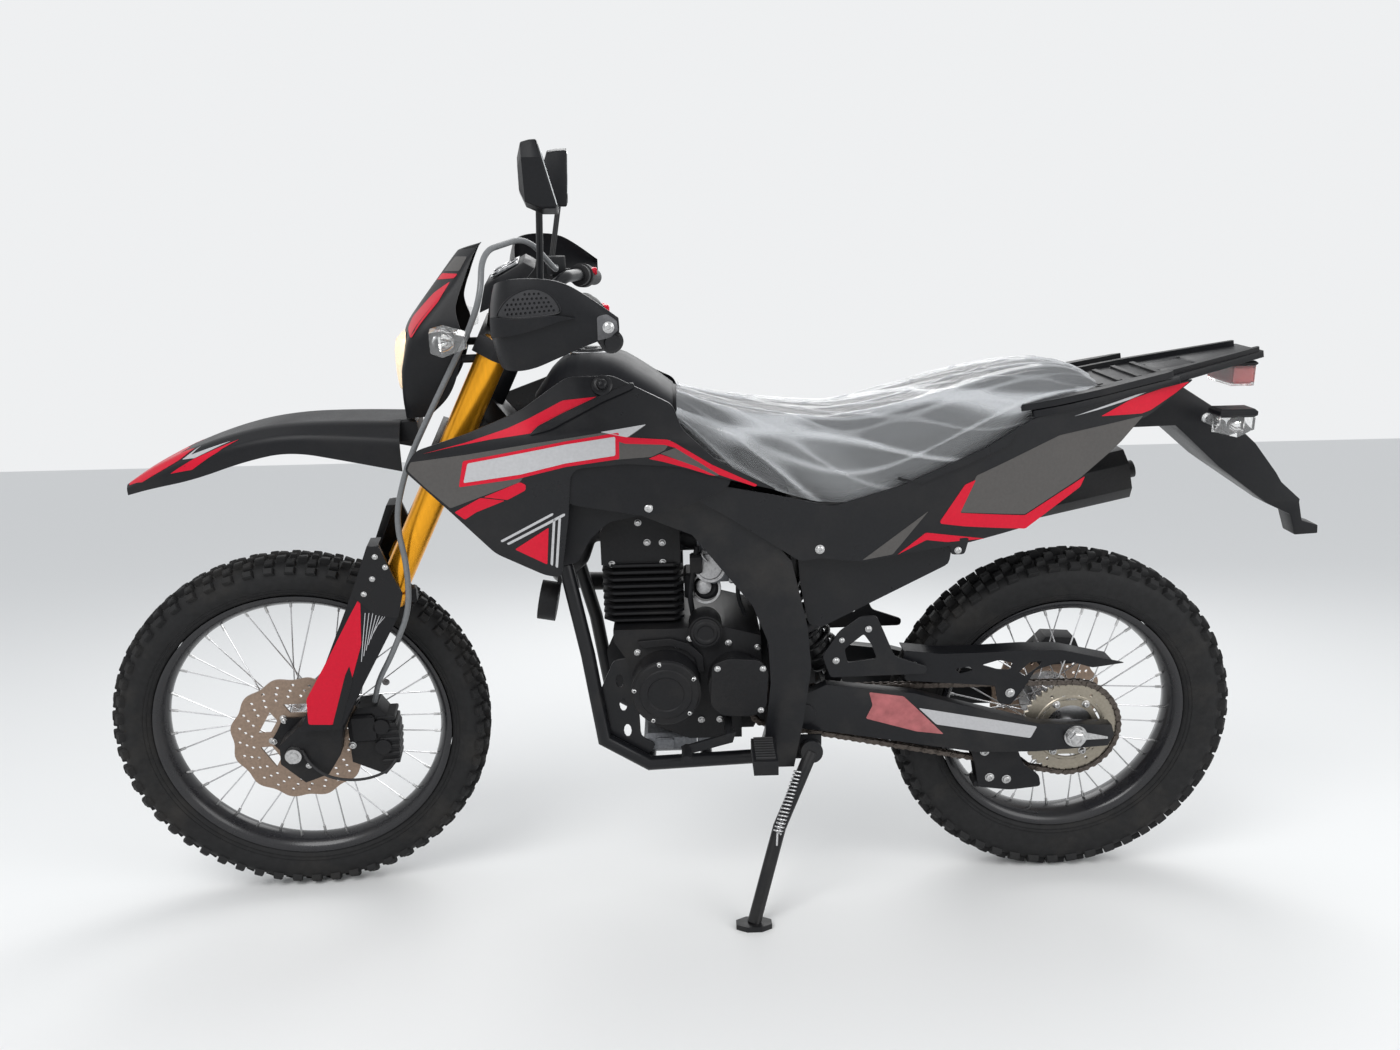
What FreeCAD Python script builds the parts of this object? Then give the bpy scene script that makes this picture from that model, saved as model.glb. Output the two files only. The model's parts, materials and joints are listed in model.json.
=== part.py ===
import FreeCAD, Part
import math
import os
import re

import Sketcher
from FreeCAD import Placement, Rotation, Vector

# Dual sport motorcycle that leans on its side stand.
# Every piece is drawn upright: X runs rearwards from the front axle, Y to the machine's right
# and Z up from the ground. The last sections turn the front end, lean the whole machine on its
# stand and move the origin to the middle of its footprint.

SIZES = (
    ("wheelbase", 1440, "front axle to rear axle"),
    ("rake", 27, "steering axis from the vertical, degrees"),
    ("axis_behind_axle", 69, "steering axis behind the front axle, square to the axis"),
    ("leg_ahead_of_axis", 24, "fork legs ahead of the steering axis"),
    ("leg_side", 98, "fork leg centre from the middle plane"),
    ("lean", 11, "lean to the left on the stand, degrees"),
    ("rest_steer", 6.6, "front end turned left as parked, degrees"),
    ("front_axle_z", 345, "front axle above the drawing's base"),
    ("front_tyre_radius", 345, "over the lugs"),
    ("front_tyre_tall", 73, "lug tips above the rim's flange"),
    ("front_tyre_half", 43, "half the section width"),
    ("front_tread_half", 15, "half the flat of the crown"),
    ("front_lug_tall", 9, "lugs above the carcass"),
    ("front_rim_radius", "=front_tyre_radius - front_tyre_tall", "over the flange"),
    ("front_rim_half", 29, "half the rim width"),
    ("rear_axle_z", 325, "rear axle above the drawing's base"),
    ("rear_tyre_radius", 325, "over the lugs"),
    ("rear_tyre_tall", 91, "lug tips above the rim's flange"),
    ("rear_tyre_half", 50, "half the section width"),
    ("rear_tread_half", 18, "half the flat of the crown"),
    ("rear_lug_tall", 10, "lugs above the carcass"),
    ("rear_rim_radius", "=rear_tyre_radius - rear_tyre_tall", "over the flange"),
    ("rear_rim_half", 35, "half the rim width"),
    ("tyre_shoulder", 12, "carcass shoulder below its crown"),
    ("tyre_belly", 42, "widest point below the lug tips"),
    ("tyre_faces", 50, "flats round a tyre, each with its own lugs"),
    ("lug_half_long", 10, "half a lug along the tread, at its foot"),
    ("lug_draft", 1.5, "lug sides lean in to the tip"),
    ("tyre_seat_gap", 0.4, "tyre bore over the rim"),
    ("rim_depth", 22, "flange to the spoke face"),
    ("rim_wall", 12, "height of the rim's side"),
    ("rim_spoke_half", 13, "half the flat that takes the spokes"),
    ("axle_radius", 8.5, "both axles"),
    ("bore_gap", 0.5, "running gap round axles and stem"),
    ("hub_half", 56, "half the hub's length"),
    ("hub_end_radius", 19, "hub boss"),
    ("hub_barrel_radius", 23, "hub middle"),
    ("hub_flange_radius", 38, "spoke flange"),
    ("hub_flange_in", 30, "flange inner face from the middle"),
    ("hub_flange_out", 38, "flange outer face from the middle"),
    ("spoke_count", 36, "spokes in a wheel"),
    ("spoke_width", 3.6, "across a spoke"),
    ("front_disc_radius", 126, "over the petals"),
    ("front_disc_side", 60, "disc plane left of the middle"),
    ("rear_disc_radius", 110, "over the petals"),
    ("rear_disc_side", 68, "disc plane right of the middle"),
    ("disc_thick", 4, "both discs"),
    ("disc_inner", 45, "disc bore"),
    ("sprocket_radius", 86, "over the teeth"),
    ("sprocket_teeth", 44, "teeth"),
    ("sprocket_side", 78, "chain line left of the middle"),
    ("sprocket_thick", 7, "sprocket plate"),
    ("chain_deep", 13, "chain across its side plates"),
    ("chain_wide", 15, "chain over its pins"),
    ("front_sprocket_x", 878, "gearbox sprocket behind the front axle"),
    ("front_sprocket_z", 385, "gearbox sprocket height"),
    ("front_sprocket_radius", 30, "gearbox sprocket over the teeth"),
    ("upper_tube_radius", 25, "gold outer fork tube"),
    ("inner_tube_radius", 19, "inner fork tube"),
    ("yoke_gap", 1.0, "yokes to the steering head"),
    ("head_low", 632, "steering head's lower end along the axis"),
    ("head_high", 812, "steering head's upper end along the axis"),
    ("head_radius", 28, "steering head tube"),
    ("stem_radius", 15, "steering stem"),
    ("yoke_thick", 30, "yoke along the axis"),
    ("upper_tube_low", 342, "gold tube's lower end along the leg"),
    ("upper_tube_high", 842, "gold tube's upper end along the leg"),
    ("foot_thick", 36, "fork foot across"),
    ("bar_radius", 11, "handlebar tube"),
    ("bar_end_side", 408, "grip end from the middle"),
    ("spar_inner", 118, "spar's inner face from the middle"),
    ("spar_outer", 146, "spar's outer face from the middle"),
    ("cradle_radius", 13, "cradle tubes"),
    ("rail_radius", 11, "seat rails"),
    ("pivot_x", 940, "swingarm pivot behind the front axle"),
    ("pivot_z", 385, "swingarm pivot height"),
    ("pivot_radius", 20, "swingarm cross tube"),
    ("arm_inner", 92, "swingarm beam's inner face"),
    ("arm_outer", 114, "swingarm beam's outer face"),
    ("skin", 6, "plastic panels"),
    ("case_half", 100, "crankcase half width"),
    ("fin_count", 9, "cylinder fins"),
    ("fin_pitch", 13, "fin to fin"),
    ("fin_thick", 5, "one fin"),
    ("header_radius", 18, "exhaust header tube"),
    ("silencer_side", 156, "silencer centre right of the middle"),
    ("silencer_wide", 84, "silencer across"),
    ("silencer_tall", 98, "silencer from top to bottom"),
    ("rack_thick", 12, "rack plate"),
    ("rack_hole_radius", 4.5, "rack bolt holes"),
    ("rack_bolt_circle", 90, "rack bolt circle across"),
    ("stand_radius", 12, "side stand leg"),
    ("stand_pivot_x", 950, "stand pivot behind the front axle"),
    ("stand_pivot_y", -134, "stand pivot from the middle"),
    ("stand_pivot_z", 322, "stand pivot height"),
    ("stand_tilt", 12.5, "stand bolt tilted up to the left, degrees"),
    ("stand_foot_x", 835, "stand foot behind the front axle"),
    ("stand_foot_y", -268, "stand foot from the middle"),
    ("stand_foot_thick", 9, "foot plate"),
    ("hose_radius", 5, "front brake hose"),
    ("seat_gap", 0.3, "between pieces that rest on each other"),
)

doc = FreeCAD.newDocument("DualSportMotorcycle")
sheet = doc.addObject("Spreadsheet::Sheet", "Sizes")
for row, (alias, value, meaning) in enumerate(SIZES, start=1):
    sheet.set("A%d" % row, meaning)
    sheet.set("B%d" % row, str(value))
    sheet.setAlias("B%d" % row, alias)
doc.recompute()

X_AXIS = Vector(1, 0, 0)
Y_AXIS = Vector(0, 1, 0)
Z_AXIS = Vector(0, 0, 1)
NODES = []


class Size:
    """Gives each driving dimension of the sheet by its name."""

    def __getattr__(self, alias):
        return float(sheet.get(alias))


size = Size()


def cell(expression):
    """The expression with every size named in the sheet."""
    known = r"\b(?!(?:cos|sin|deg)\b)[a-z][a-z_]+"
    return re.sub(known, lambda word: "Sizes." + word.group(), str(expression))


def node(item, name, group):
    """Name a finished piece and note the body that it moves with."""
    item.Label = name
    NODES.append((item, name, group))
    return item


# Steering geometry


def axis_direction():
    angle = math.radians(size.rake)
    return Vector(math.sin(angle), 0, math.cos(angle))


def square_to_axis():
    angle = math.radians(size.rake)
    return Vector(math.cos(angle), 0, -math.sin(angle))


def axis_point(along, behind=0.0, side=0.0):
    """A point by its distance up the steering axis, behind it and to the right."""
    start = Vector(0, 0, size.front_axle_z) + square_to_axis() * size.axis_behind_axle
    return start + axis_direction() * along + square_to_axis() * behind + Y_AXIS * side


def leg_point(along, hand):
    """A point on a fork leg's centre line; hand is -1 for left and 1 for right."""
    return axis_point(along, -size.leg_ahead_of_axis, hand * size.leg_side)


# Helpers that draw with sketches and features


def new_body(name):
    return doc.addObject("PartDesign::Body", name)


def origin_plane(body, role):
    return next(item for item in body.Origin.OriginFeatures if item.Role == role)


def outline(body, name, role, points, offset="0"):
    """Closed sketch on an origin plane; its corners are pairs of numbers or expressions."""
    sketch = body.newObject("Sketcher::SketchObject", name)
    sketch.AttachmentSupport = (origin_plane(body, role), [""])
    sketch.MapMode = "FlatFace"
    sketch.setExpression("AttachmentOffset.Base.z", cell(offset))
    count = len(points)
    turn = 2 * math.pi / count
    first = [Vector(100 * math.cos(turn * k), 100 * math.sin(turn * k), 0) for k in range(count)]
    for k in range(count):
        sketch.addGeometry(Part.LineSegment(first[k], first[(k + 1) % count]), False)
    for k in range(count):
        sketch.addConstraint(Sketcher.Constraint("Coincident", k, 2, (k + 1) % count, 1))
    for k, (across, up) in enumerate(points):
        for kind, where, guess in (("DistanceX", across, first[k].x), ("DistanceY", up, first[k].y)):
            index = sketch.addConstraint(Sketcher.Constraint(kind, -1, 1, k, 1, guess))
            sketch.setExpression("Constraints[%d]" % index, cell(where))
    return sketch


def circle(body, name, role, centre, radius, offset="0"):
    """Sketch of one circle on an origin plane."""
    sketch = body.newObject("Sketcher::SketchObject", name)
    sketch.AttachmentSupport = (origin_plane(body, role), [""])
    sketch.MapMode = "FlatFace"
    sketch.setExpression("AttachmentOffset.Base.z", cell(offset))
    sketch.addGeometry(Part.Circle(Vector(10, 10, 0), Z_AXIS, 5), False)
    rows = (("DistanceX", centre[0], 10), ("DistanceY", centre[1], 10))
    for kind, where, guess in rows:
        index = sketch.addConstraint(Sketcher.Constraint(kind, -1, 1, 0, 3, guess))
        sketch.setExpression("Constraints[%d]" % index, cell(where))
    index = sketch.addConstraint(Sketcher.Constraint("Radius", 0, 5))
    sketch.setExpression("Constraints[%d]" % index, cell(radius))
    return sketch


def pad(body, sketch, length):
    """Pad a sketch by half its length to each side."""
    feature = body.newObject("PartDesign::Pad", sketch.Name + "Pad")
    feature.Profile = sketch
    feature.SideType = "Symmetric"
    feature.setExpression("Length", cell(length))
    return feature


def cut(body, sketch, length):
    """Cut a sketch by half its length to each side."""
    feature = body.newObject("PartDesign::Pocket", sketch.Name + "Cut")
    feature.Profile = sketch
    feature.SideType = "Symmetric"
    feature.setExpression("Length", cell(length))
    return feature


def plate(name, role, points, thick, offset="0"):
    """A flat piece: an outline padded to both sides of its own plane."""
    body = new_body(name)
    pad(body, outline(body, name + "Outline", role, points, offset), thick)
    return body


def turned(name, points):
    """A piece turned about the wheel's axle; each point is a distance along Y and a radius."""
    body = new_body(name)
    sketch = outline(body, name + "Profile", "YZ_Plane", points)
    feature = body.newObject("PartDesign::Revolution", name + "Turn")
    feature.Profile = sketch
    feature.ReferenceAxis = (sketch, ["H_Axis"])
    feature.Angle = 360
    return body


def loft(name, stations, section):
    """A ruled loft along X: section turns a table row into the corners of its outline."""
    body = new_body(name)
    sketches = []
    for k, row in enumerate(stations):
        sketches.append(outline(body, "%sSection%d" % (name, k), "YZ_Plane", section(row), row[0]))
    feature = body.newObject("PartDesign::AdditiveLoft", name + "Loft")
    feature.Profile = sketches[0]
    feature.Sections = sketches[1:]
    feature.Ruled = True
    return body


def rod(name, start, end, radius):
    """A round bar between two points; radius is an expression."""
    bar = doc.addObject("Part::Cylinder", name)
    bar.Height = (end - start).Length
    bar.setExpression("Radius", cell(radius))
    bar.Placement = Placement(start, Rotation(Z_AXIS, end - start))
    return bar


def block(name, low, high):
    """A box from its lowest corner to its highest."""
    box = doc.addObject("Part::Box", name)
    box.Length = high[0] - low[0]
    box.Width = high[1] - low[1]
    box.Height = high[2] - low[2]
    box.Placement.Base = Vector(*low)
    return box


def mirrored(source, name):
    """The same piece on the other side of the middle plane."""
    other = doc.addObject("Part::Mirroring", name)
    other.Source = source
    other.Normal = Y_AXIS
    return other


def joined(name, parts):
    """Pieces joined by what carries them, or like pieces that share a node."""
    fused = doc.addObject("Part::MultiFuse", name)
    fused.Shapes = parts
    fused.Refine = False
    return fused


def common(name, first, second):
    """What two bodies share, such as a side outline and a band seen from above."""
    both = doc.addObject("Part::Common", name)
    both.Base = first
    both.Tool = second
    return both


def less(name, base, tool):
    """A piece less another."""
    rest = doc.addObject("Part::Cut", name)
    rest.Base = base
    rest.Tool = tool
    return rest


def path_wire(points, bends):
    """Straight runs joined by tangent arcs; bends gives an arc radius for each inner point."""
    edges = []
    start = points[0]
    for k in range(1, len(points) - 1):
        back = (points[k - 1] - points[k]).normalize()
        ahead = (points[k + 1] - points[k]).normalize()
        turn = math.pi - back.getAngle(ahead)
        reach = bends[k - 1] * math.tan(turn / 2)
        first = points[k] + back * reach
        last = points[k] + ahead * reach
        middle = points[k] + (back + ahead).normalize() * (bends[k - 1] / math.cos(turn / 2) - bends[k - 1])
        edges.append(Part.LineSegment(start, first).toShape())
        edges.append(Part.Arc(first, middle, last).toShape())
        start = last
    edges.append(Part.LineSegment(start, points[-1]).toShape())
    return Part.Wire(edges)


def tube_shape(points, radius, bend):
    """A round tube along points; bend is its bend radius, and zero mitres the corners."""
    if bend:
        wire = path_wire(points, [bend] * (len(points) - 2))
    else:
        wire = Part.makePolygon(points)
    ring = Part.Wire(Part.makeCircle(radius, points[0], points[1] - points[0]))
    return wire.makePipeShell([ring], True, False, 0 if bend else 1)


def feature(name, shape):
    item = doc.addObject("Part::Feature", name)
    item.Shape = shape
    return item


def both_sides(points):
    """The points, and the same points mirrored to the machine's right."""
    return (points, [Vector(p.x, -p.y, p.z) for p in points])


# Wheels: drawn about an axle at the origin


LUGS = (
    # every second flat, edge of the carcass outline, where the lug starts and ends along that edge
    (1, "crown", 0.06, 0.45),
    (1, "crown", 0.55, 0.94),
    (0, "crown", 0.34, 0.66),
    (0, "shoulder", 0.10, 0.90),
)


def wheel_point(middle, across, along, reach):
    """A point by the angle of a flat's middle: across the wheel, along the flat and out from the axle."""
    out = Vector(math.cos(middle), 0, math.sin(middle))
    ahead = Vector(-math.sin(middle), 0, math.cos(middle))
    return out * reach + ahead * along + Y_AXIS * across


def flat_face(*rings):
    """A flat face inside its first ring of points and outside the others."""
    return Part.makeFace([Part.makePolygon(ring + ring[:1]) for ring in rings], "Part::FaceMakerBullseye")


def lug(middle, first, last, low, high, rise):
    """Foot ring and faces of a lug on the flat that runs from the first to the last of two edges."""
    run = last - first
    along = Vector(run.x, run.y, 0).normalize()
    out = Vector(-along.y, along.x, 0) * math.copysign(1, along.x)
    half = size.lug_half_long
    rings = []
    for inset, up in ((0, 0), (size.lug_draft, rise)):
        start = first + run * low + along * inset + out * up
        stop = first + run * high - along * inset + out * up
        reach = half - inset
        corners = ((start, -reach), (stop, -reach), (stop, reach), (start, reach))
        rings.append([wheel_point(middle, point.x, ahead, point.y) for point, ahead in corners])
    foot, tip = rings
    sides = [flat_face([foot[k], foot[(k + 1) % 4], tip[(k + 1) % 4], tip[k]]) for k in range(4)]
    return foot, sides + [flat_face(tip)]


def tyre(end):
    """Carcass of flats round the axle, open at the beads, with lugs that stand on its tread."""
    sizes = {word: float(sheet.get(end + "_" + word)) for word in
             ("tyre_radius", "tyre_half", "tread_half", "lug_tall", "rim_radius", "rim_half")}
    count = int(size.tyre_faces)
    apothem = math.cos(math.pi / count)
    root = sizes["tyre_radius"] - sizes["lug_tall"]
    corners = [
        (sizes["rim_half"] - 2, (sizes["rim_radius"] + size.tyre_seat_gap) / apothem),
        (sizes["tyre_half"], sizes["tyre_radius"] - size.tyre_belly),
        (sizes["tyre_half"] - 9, root - size.tyre_shoulder),
        (sizes["tread_half"] + 3, root),
    ]
    corners += [(-across, reach) for across, reach in reversed(corners)]
    edges = ("sidewall", "side", "shoulder", "crown", "shoulder", "side", "sidewall", "bead")
    faces = []
    for k in range(count):
        middle = 2 * math.pi * (k + 0.5) / count
        for m, word in enumerate(edges):
            ends = (corners[m], corners[(m + 1) % len(corners)])
            first, last = (Vector(across, reach * apothem, 0) for across, reach in ends)
            ring = []
            for point, way in ((first, -1), (last, -1), (last, 1), (first, 1)):
                ring.append(wheel_point(middle, point.x, way * point.y * math.tan(math.pi / count), point.y))
            feet = []
            for turn, place, low, high in LUGS:
                if place == word and turn == k % 2:
                    rise = sizes["tyre_radius"] - first.y if word == "crown" else sizes["lug_tall"]
                    foot, sides = lug(middle, first, last, low, high, rise)
                    feet.append(foot)
                    faces += sides
            faces.append(flat_face(ring, *feet))
    shell = Part.Shell(faces)
    shell.sewShape()
    solid = Part.Solid(Part.Shell(shell.Faces))
    if solid.Volume < 0:
        solid.reverse()
    return feature(end + "_tyre", solid)


def rim(end):
    half = end + "_rim_half"
    radius = end + "_rim_radius"
    right = (
        (half, radius),
        (half, radius + " - rim_wall"),
        ("rim_spoke_half", radius + " - rim_depth"),
    )
    left = [("-(" + across + ")", up) for across, up in reversed(right)]
    return turned(end + "_rim", list(right) + left)


def spoke(name, k, rim_reach):
    """One spoke as a square bar from a hub flange to the rim, leaning along the flange."""
    count = int(size.spoke_count)
    side = 1 if k % 2 else -1
    lean = 1 if (k // 2) % 2 else -1
    outer = 2 * math.pi * k / count
    inner = outer - lean * math.radians(62)
    flange = size.hub_flange_in + 2 if lean > 0 else size.hub_flange_out - 2
    start = Vector(math.cos(inner) * (size.hub_flange_radius - 5), side * flange,
                   math.sin(inner) * (size.hub_flange_radius - 5))
    end = Vector(math.cos(outer) * rim_reach, side * 6, math.sin(outer) * rim_reach)
    bar = doc.addObject("Part::Box", "%s_spoke_%d" % (name, k))
    bar.setExpression("Length", cell("spoke_width"))
    bar.setExpression("Width", cell("spoke_width"))
    bar.Height = (end - start).Length
    half = Placement(Vector(-size.spoke_width / 2, -size.spoke_width / 2, 0), Rotation())
    bar.Placement = Placement(start, Rotation(Z_AXIS, end - start)).multiply(half)
    return bar


def hub(end, left_reach, right_reach, left_carrier, right_carrier):
    """Turned hub with two spoke flanges, carriers for disc or sprocket, and its spokes."""
    bore = "axle_radius + bore_gap"
    points = [("-(" + left_reach + ")", bore), (right_reach, bore)]
    for reach, carrier, sign in ((right_reach, right_carrier, ""), (left_reach, left_carrier, "-")):
        rows = [
            (reach, carrier),
            (reach + " - 8", carrier),
            (reach + " - 8", "hub_end_radius + 4"),
            ("hub_flange_out", "hub_flange_radius"),
            ("hub_flange_in", "hub_flange_radius"),
            ("hub_flange_in - 6", "hub_barrel_radius"),
        ]
        rows = [(sign + "(" + across + ")", up) for across, up in rows]
        points.extend(rows if sign == "" else reversed(rows))
    barrel = turned(end + "_hub_barrel", points)
    doc.recompute()
    radius = float(sheet.get(end + "_rim_radius"))
    reach = radius - size.rim_depth - 0.8
    spokes = [spoke(end, k, reach) for k in range(int(size.spoke_count))]
    return joined(end + "_hub", [barrel] + spokes)


def ring_points(count, rows, side):
    """Points of a toothed outline: each row is a share of one pitch and a radius."""
    points = []
    for k in range(count):
        for share, radius in rows:
            angle = 2 * math.pi * (k + share) / count
            points.append(Vector(math.cos(angle) * radius, side, math.sin(angle) * radius))
    return points


def holed_face(outer, inner):
    """A flat face between an outer and an inner closed run of points."""
    wires = [Part.makePolygon(ring + ring[:1]) for ring in (outer, inner)]
    return Part.makeFace(wires, "Part::FaceMakerBullseye")


def toothed(name, count, rows, bore, thick, side):
    """A plate with a toothed or petalled edge and a round bore, square to the axle."""
    low = side - thick / 2
    face = holed_face(ring_points(count, rows, low), ring_points(24, ((0, bore),), low))
    return feature(name, face.extrude(Y_AXIS * thick))


# Front wheel

node(tyre("front"), "front_tyre", "front_wheel")
node(rim("front"), "front_rim", "front_wheel")
front_carrier = "front_disc_side - disc_thick / 2 - 0.3"
node(hub("front", front_carrier, "hub_half", "disc_inner + 7", "hub_end_radius"), "front_hub", "front_wheel")
petals = ((0, size.front_disc_radius), (0.3, size.front_disc_radius), (0.5, size.front_disc_radius - 7),
          (0.8, size.front_disc_radius - 7))
node(toothed("front_disc", 12, petals, size.disc_inner, size.disc_thick, -size.front_disc_side),
     "front_disc", "front_wheel")

# Rear wheel

node(tyre("rear"), "rear_tyre", "rear_wheel")
node(rim("rear"), "rear_rim", "rear_wheel")
rear_left = "sprocket_side - sprocket_thick / 2 - 0.3"
rear_right = "rear_disc_side - disc_thick / 2 - 0.3"
node(hub("rear", rear_left, rear_right, "disc_inner + 9", "disc_inner + 7"), "rear_hub", "rear_wheel")
petals = ((0, size.rear_disc_radius), (0.3, size.rear_disc_radius), (0.5, size.rear_disc_radius - 6),
          (0.8, size.rear_disc_radius - 6))
node(toothed("rear_disc", 12, petals, size.disc_inner, size.disc_thick, size.rear_disc_side),
     "rear_disc", "rear_wheel")
tooth = ((0, size.sprocket_radius), (0.3, size.sprocket_radius), (0.65, size.sprocket_radius - 6))
node(toothed("rear_sprocket", int(size.sprocket_teeth), tooth, size.disc_inner, size.sprocket_thick,
             -size.sprocket_side), "rear_sprocket", "rear_wheel")

# Front fork, drawn with the steering straight ahead


def fork_tubes():
    tubes = []
    for hand, word in ((-1, "left"), (1, "right")):
        low = leg_point(size.upper_tube_low, hand)
        high = leg_point(size.upper_tube_high, hand)
        tubes.append(rod(word + "_gold", low, high, "upper_tube_radius"))
        collar = leg_point(size.upper_tube_low + 26, hand)
        tubes.append(rod(word + "_collar", low, collar, "upper_tube_radius + 4"))
    return joined("fork_tubes", tubes)


def fork_sliders():
    """Inner tubes that run into cast feet, which carry the axle ahead of the legs."""
    parts = []
    foot = (("-27", "front_axle_z - 20"), ("-24", "front_axle_z + 18"), (14, "front_axle_z + 52.7"),
            (92, "front_axle_z + 52.7"), (80, "front_axle_z - 10"), (55, "front_axle_z - 48"),
            (12, "front_axle_z - 62"))
    for hand, word in ((-1, "left"), (1, "right")):
        low = leg_point(60, hand)
        high = leg_point(size.upper_tube_low - 0.3, hand)
        parts.append(rod(word + "_inner", low, high, "inner_tube_radius"))
        parts.append(plate(word + "_foot", "XZ_Plane", foot, "foot_thick", "%d * leg_side" % -hand))
    return joined("fork_sliders_solid", parts)


def drilled(name, base, start, end, radius):
    """A piece with a round hole through it."""
    return less(name, base, rod(name + "_hole", start, end, radius))


axle_left = Vector(0, -160, size.front_axle_z)
axle_right = Vector(0, 160, size.front_axle_z)
sliders = drilled("fork_sliders", fork_sliders(), axle_left, axle_right, "axle_radius + 0.05")
node(fork_tubes(), "fork_tubes", "steering")
node(sliders, "fork_sliders", "steering")


def front_axle():
    """Axle with a nut at each end and a spacer each side of the hub."""
    height = size.front_axle_z
    foot_in = size.leg_side - size.foot_thick / 2
    foot_out = size.leg_side + size.foot_thick / 2
    shaft_reach = foot_out + 14
    parts = [rod("front_shaft", Vector(0, -shaft_reach, height), Vector(0, shaft_reach, height), "axle_radius")]
    hub_left = size.front_disc_side - size.disc_thick / 2 - 0.3
    spans = (
        ("front_left_spacer", -foot_in + 0.3, -hub_left - 0.6, "hub_end_radius - 5"),
        ("front_right_spacer", size.hub_half + 0.6, foot_in - 0.3, "hub_end_radius - 5"),
        ("front_left_nut", -foot_out - 12, -foot_out - 0.3, "axle_radius + 6"),
        ("front_right_nut", foot_out + 0.3, foot_out + 12, "axle_radius + 6"),
    )
    for name, left, right, radius in spans:
        parts.append(rod(name, Vector(0, left, height), Vector(0, right, height), radius))
    return joined("front_axle", parts)


node(front_axle(), "front_axle", "steering")


def yoke(name, middle):
    """A cast yoke: a plate across the axis that clamps both fork tubes."""
    half = size.leg_side + size.upper_tube_radius + 9
    reach = size.upper_tube_radius + 10
    ahead = size.leg_ahead_of_axis
    corners = (
        (-ahead - reach, half - 14), (-ahead - reach, -half + 14), (-ahead, -half),
        (-ahead + reach - 6, -half + 6), (24, -26), (24, 26), (-ahead + reach - 6, half - 6), (-ahead, half),
    )
    low = middle - size.yoke_thick / 2
    ring = [axis_point(low, behind, side) for behind, side in corners]
    solid = Part.Face(Part.makePolygon(ring + ring[:1])).extrude(axis_direction() * size.yoke_thick)
    for hand in (-1, 1):
        tube = Part.makeCylinder(size.upper_tube_radius + 0.05, size.yoke_thick + 2,
                                 leg_point(low - 1, hand), axis_direction())
        solid = solid.cut(tube)
    return feature(name, solid)


lower_yoke_middle = size.head_low - size.yoke_gap - size.yoke_thick / 2
upper_yoke_middle = size.head_high + size.yoke_gap + size.yoke_thick / 2
stem = rod("stem", axis_point(lower_yoke_middle), axis_point(upper_yoke_middle), "stem_radius")
clamp_top = upper_yoke_middle + 58
clamps = []
for hand, word in ((-1, "left"), (1, "right")):
    riser = rod(word + "_riser", axis_point(upper_yoke_middle, 0, hand * 42),
                axis_point(clamp_top, 0, hand * 42), 14)
    clamps.append(riser)
plates = [yoke("lower_yoke", lower_yoke_middle), yoke("upper_yoke", upper_yoke_middle)]
yokes = joined("fork_yokes_solid", plates + [stem] + clamps)

# Handlebar: the left half's bend points, then their mirror image

bar_middle = axis_point(clamp_top - 2)
BAR_POINTS = (
    # x behind the clamp, y, z above the clamp
    (134, -1.0, 16),
    (98, -0.50, 44),
    (74, -0.34, 48),
    (0, -0.17, 0),
)


def bar_path():
    left = [bar_middle + Vector(x, share * size.bar_end_side, z) for x, share, z in BAR_POINTS]
    right = [Vector(p.x, -p.y, p.z) for p in reversed(left)]
    return left + right


bar = bar_path()
clamp_ends = (bar_middle - Y_AXIS * 90, bar_middle + Y_AXIS * 90)
node(drilled("fork_yokes", yokes, clamp_ends[0], clamp_ends[1], "bar_radius + 0.05"), "fork_yokes", "steering")
node(feature("handlebar", tube_shape(bar, size.bar_radius, 38)), "handlebar", "steering")


def along_bar(hand, distance):
    """A point on the grip's straight, measured from the bar's end, and the inward direction."""
    end, inner = bar[0], bar[1]
    if hand > 0:
        end, inner = bar[-1], bar[-2]
    inward = (inner - end).normalize()
    return end + inward * distance, inward


def sleeve(name, hand, start, length, radius):
    """A ring round the bar's grip straight."""
    low, inward = along_bar(hand, start)
    outer = rod(name + "_outer", low, low + inward * length, radius)
    inner = rod(name + "_bore", low - inward, low + inward * (length + 1), "bar_radius + 0.2")
    return less(name, outer, inner)


def grips():
    parts = []
    for hand, word in ((-1, "left"), (1, "right")):
        parts.append(sleeve(word + "_grip", hand, 4, 122, 16.5))
    return joined("grips", parts)


def controls():
    """Switch boxes, lever brackets and levers, and the front brake's reservoir."""
    parts = []
    for hand, word in ((-1, "left"), (1, "right")):
        parts.append(sleeve(word + "_switch", hand, 130, 40, 23))
        parts.append(sleeve(word + "_perch", hand, 174, 24, 20))
        perch, inward = along_bar(hand, 186)
        front = perch + Vector(-44, 0, 6)
        parts.append(rod(word + "_bracket", perch + Vector(-14, 0, 2), front, 9))
        tip = along_bar(hand, 12)[0] + Vector(-52, 0, -4)
        parts.append(rod(word + "_lever", front, tip, 5.5))
        if hand > 0:
            parts.append(rod("master_cylinder", front, front + Vector(0, -40, 0), 8))
            parts.append(rod("reservoir", front + Vector(0, -38, 2), front + Vector(0, -38, 34), 18))
    return joined("controls", parts)


node(grips(), "grips", "steering")
node(controls(), "controls", "steering")


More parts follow.
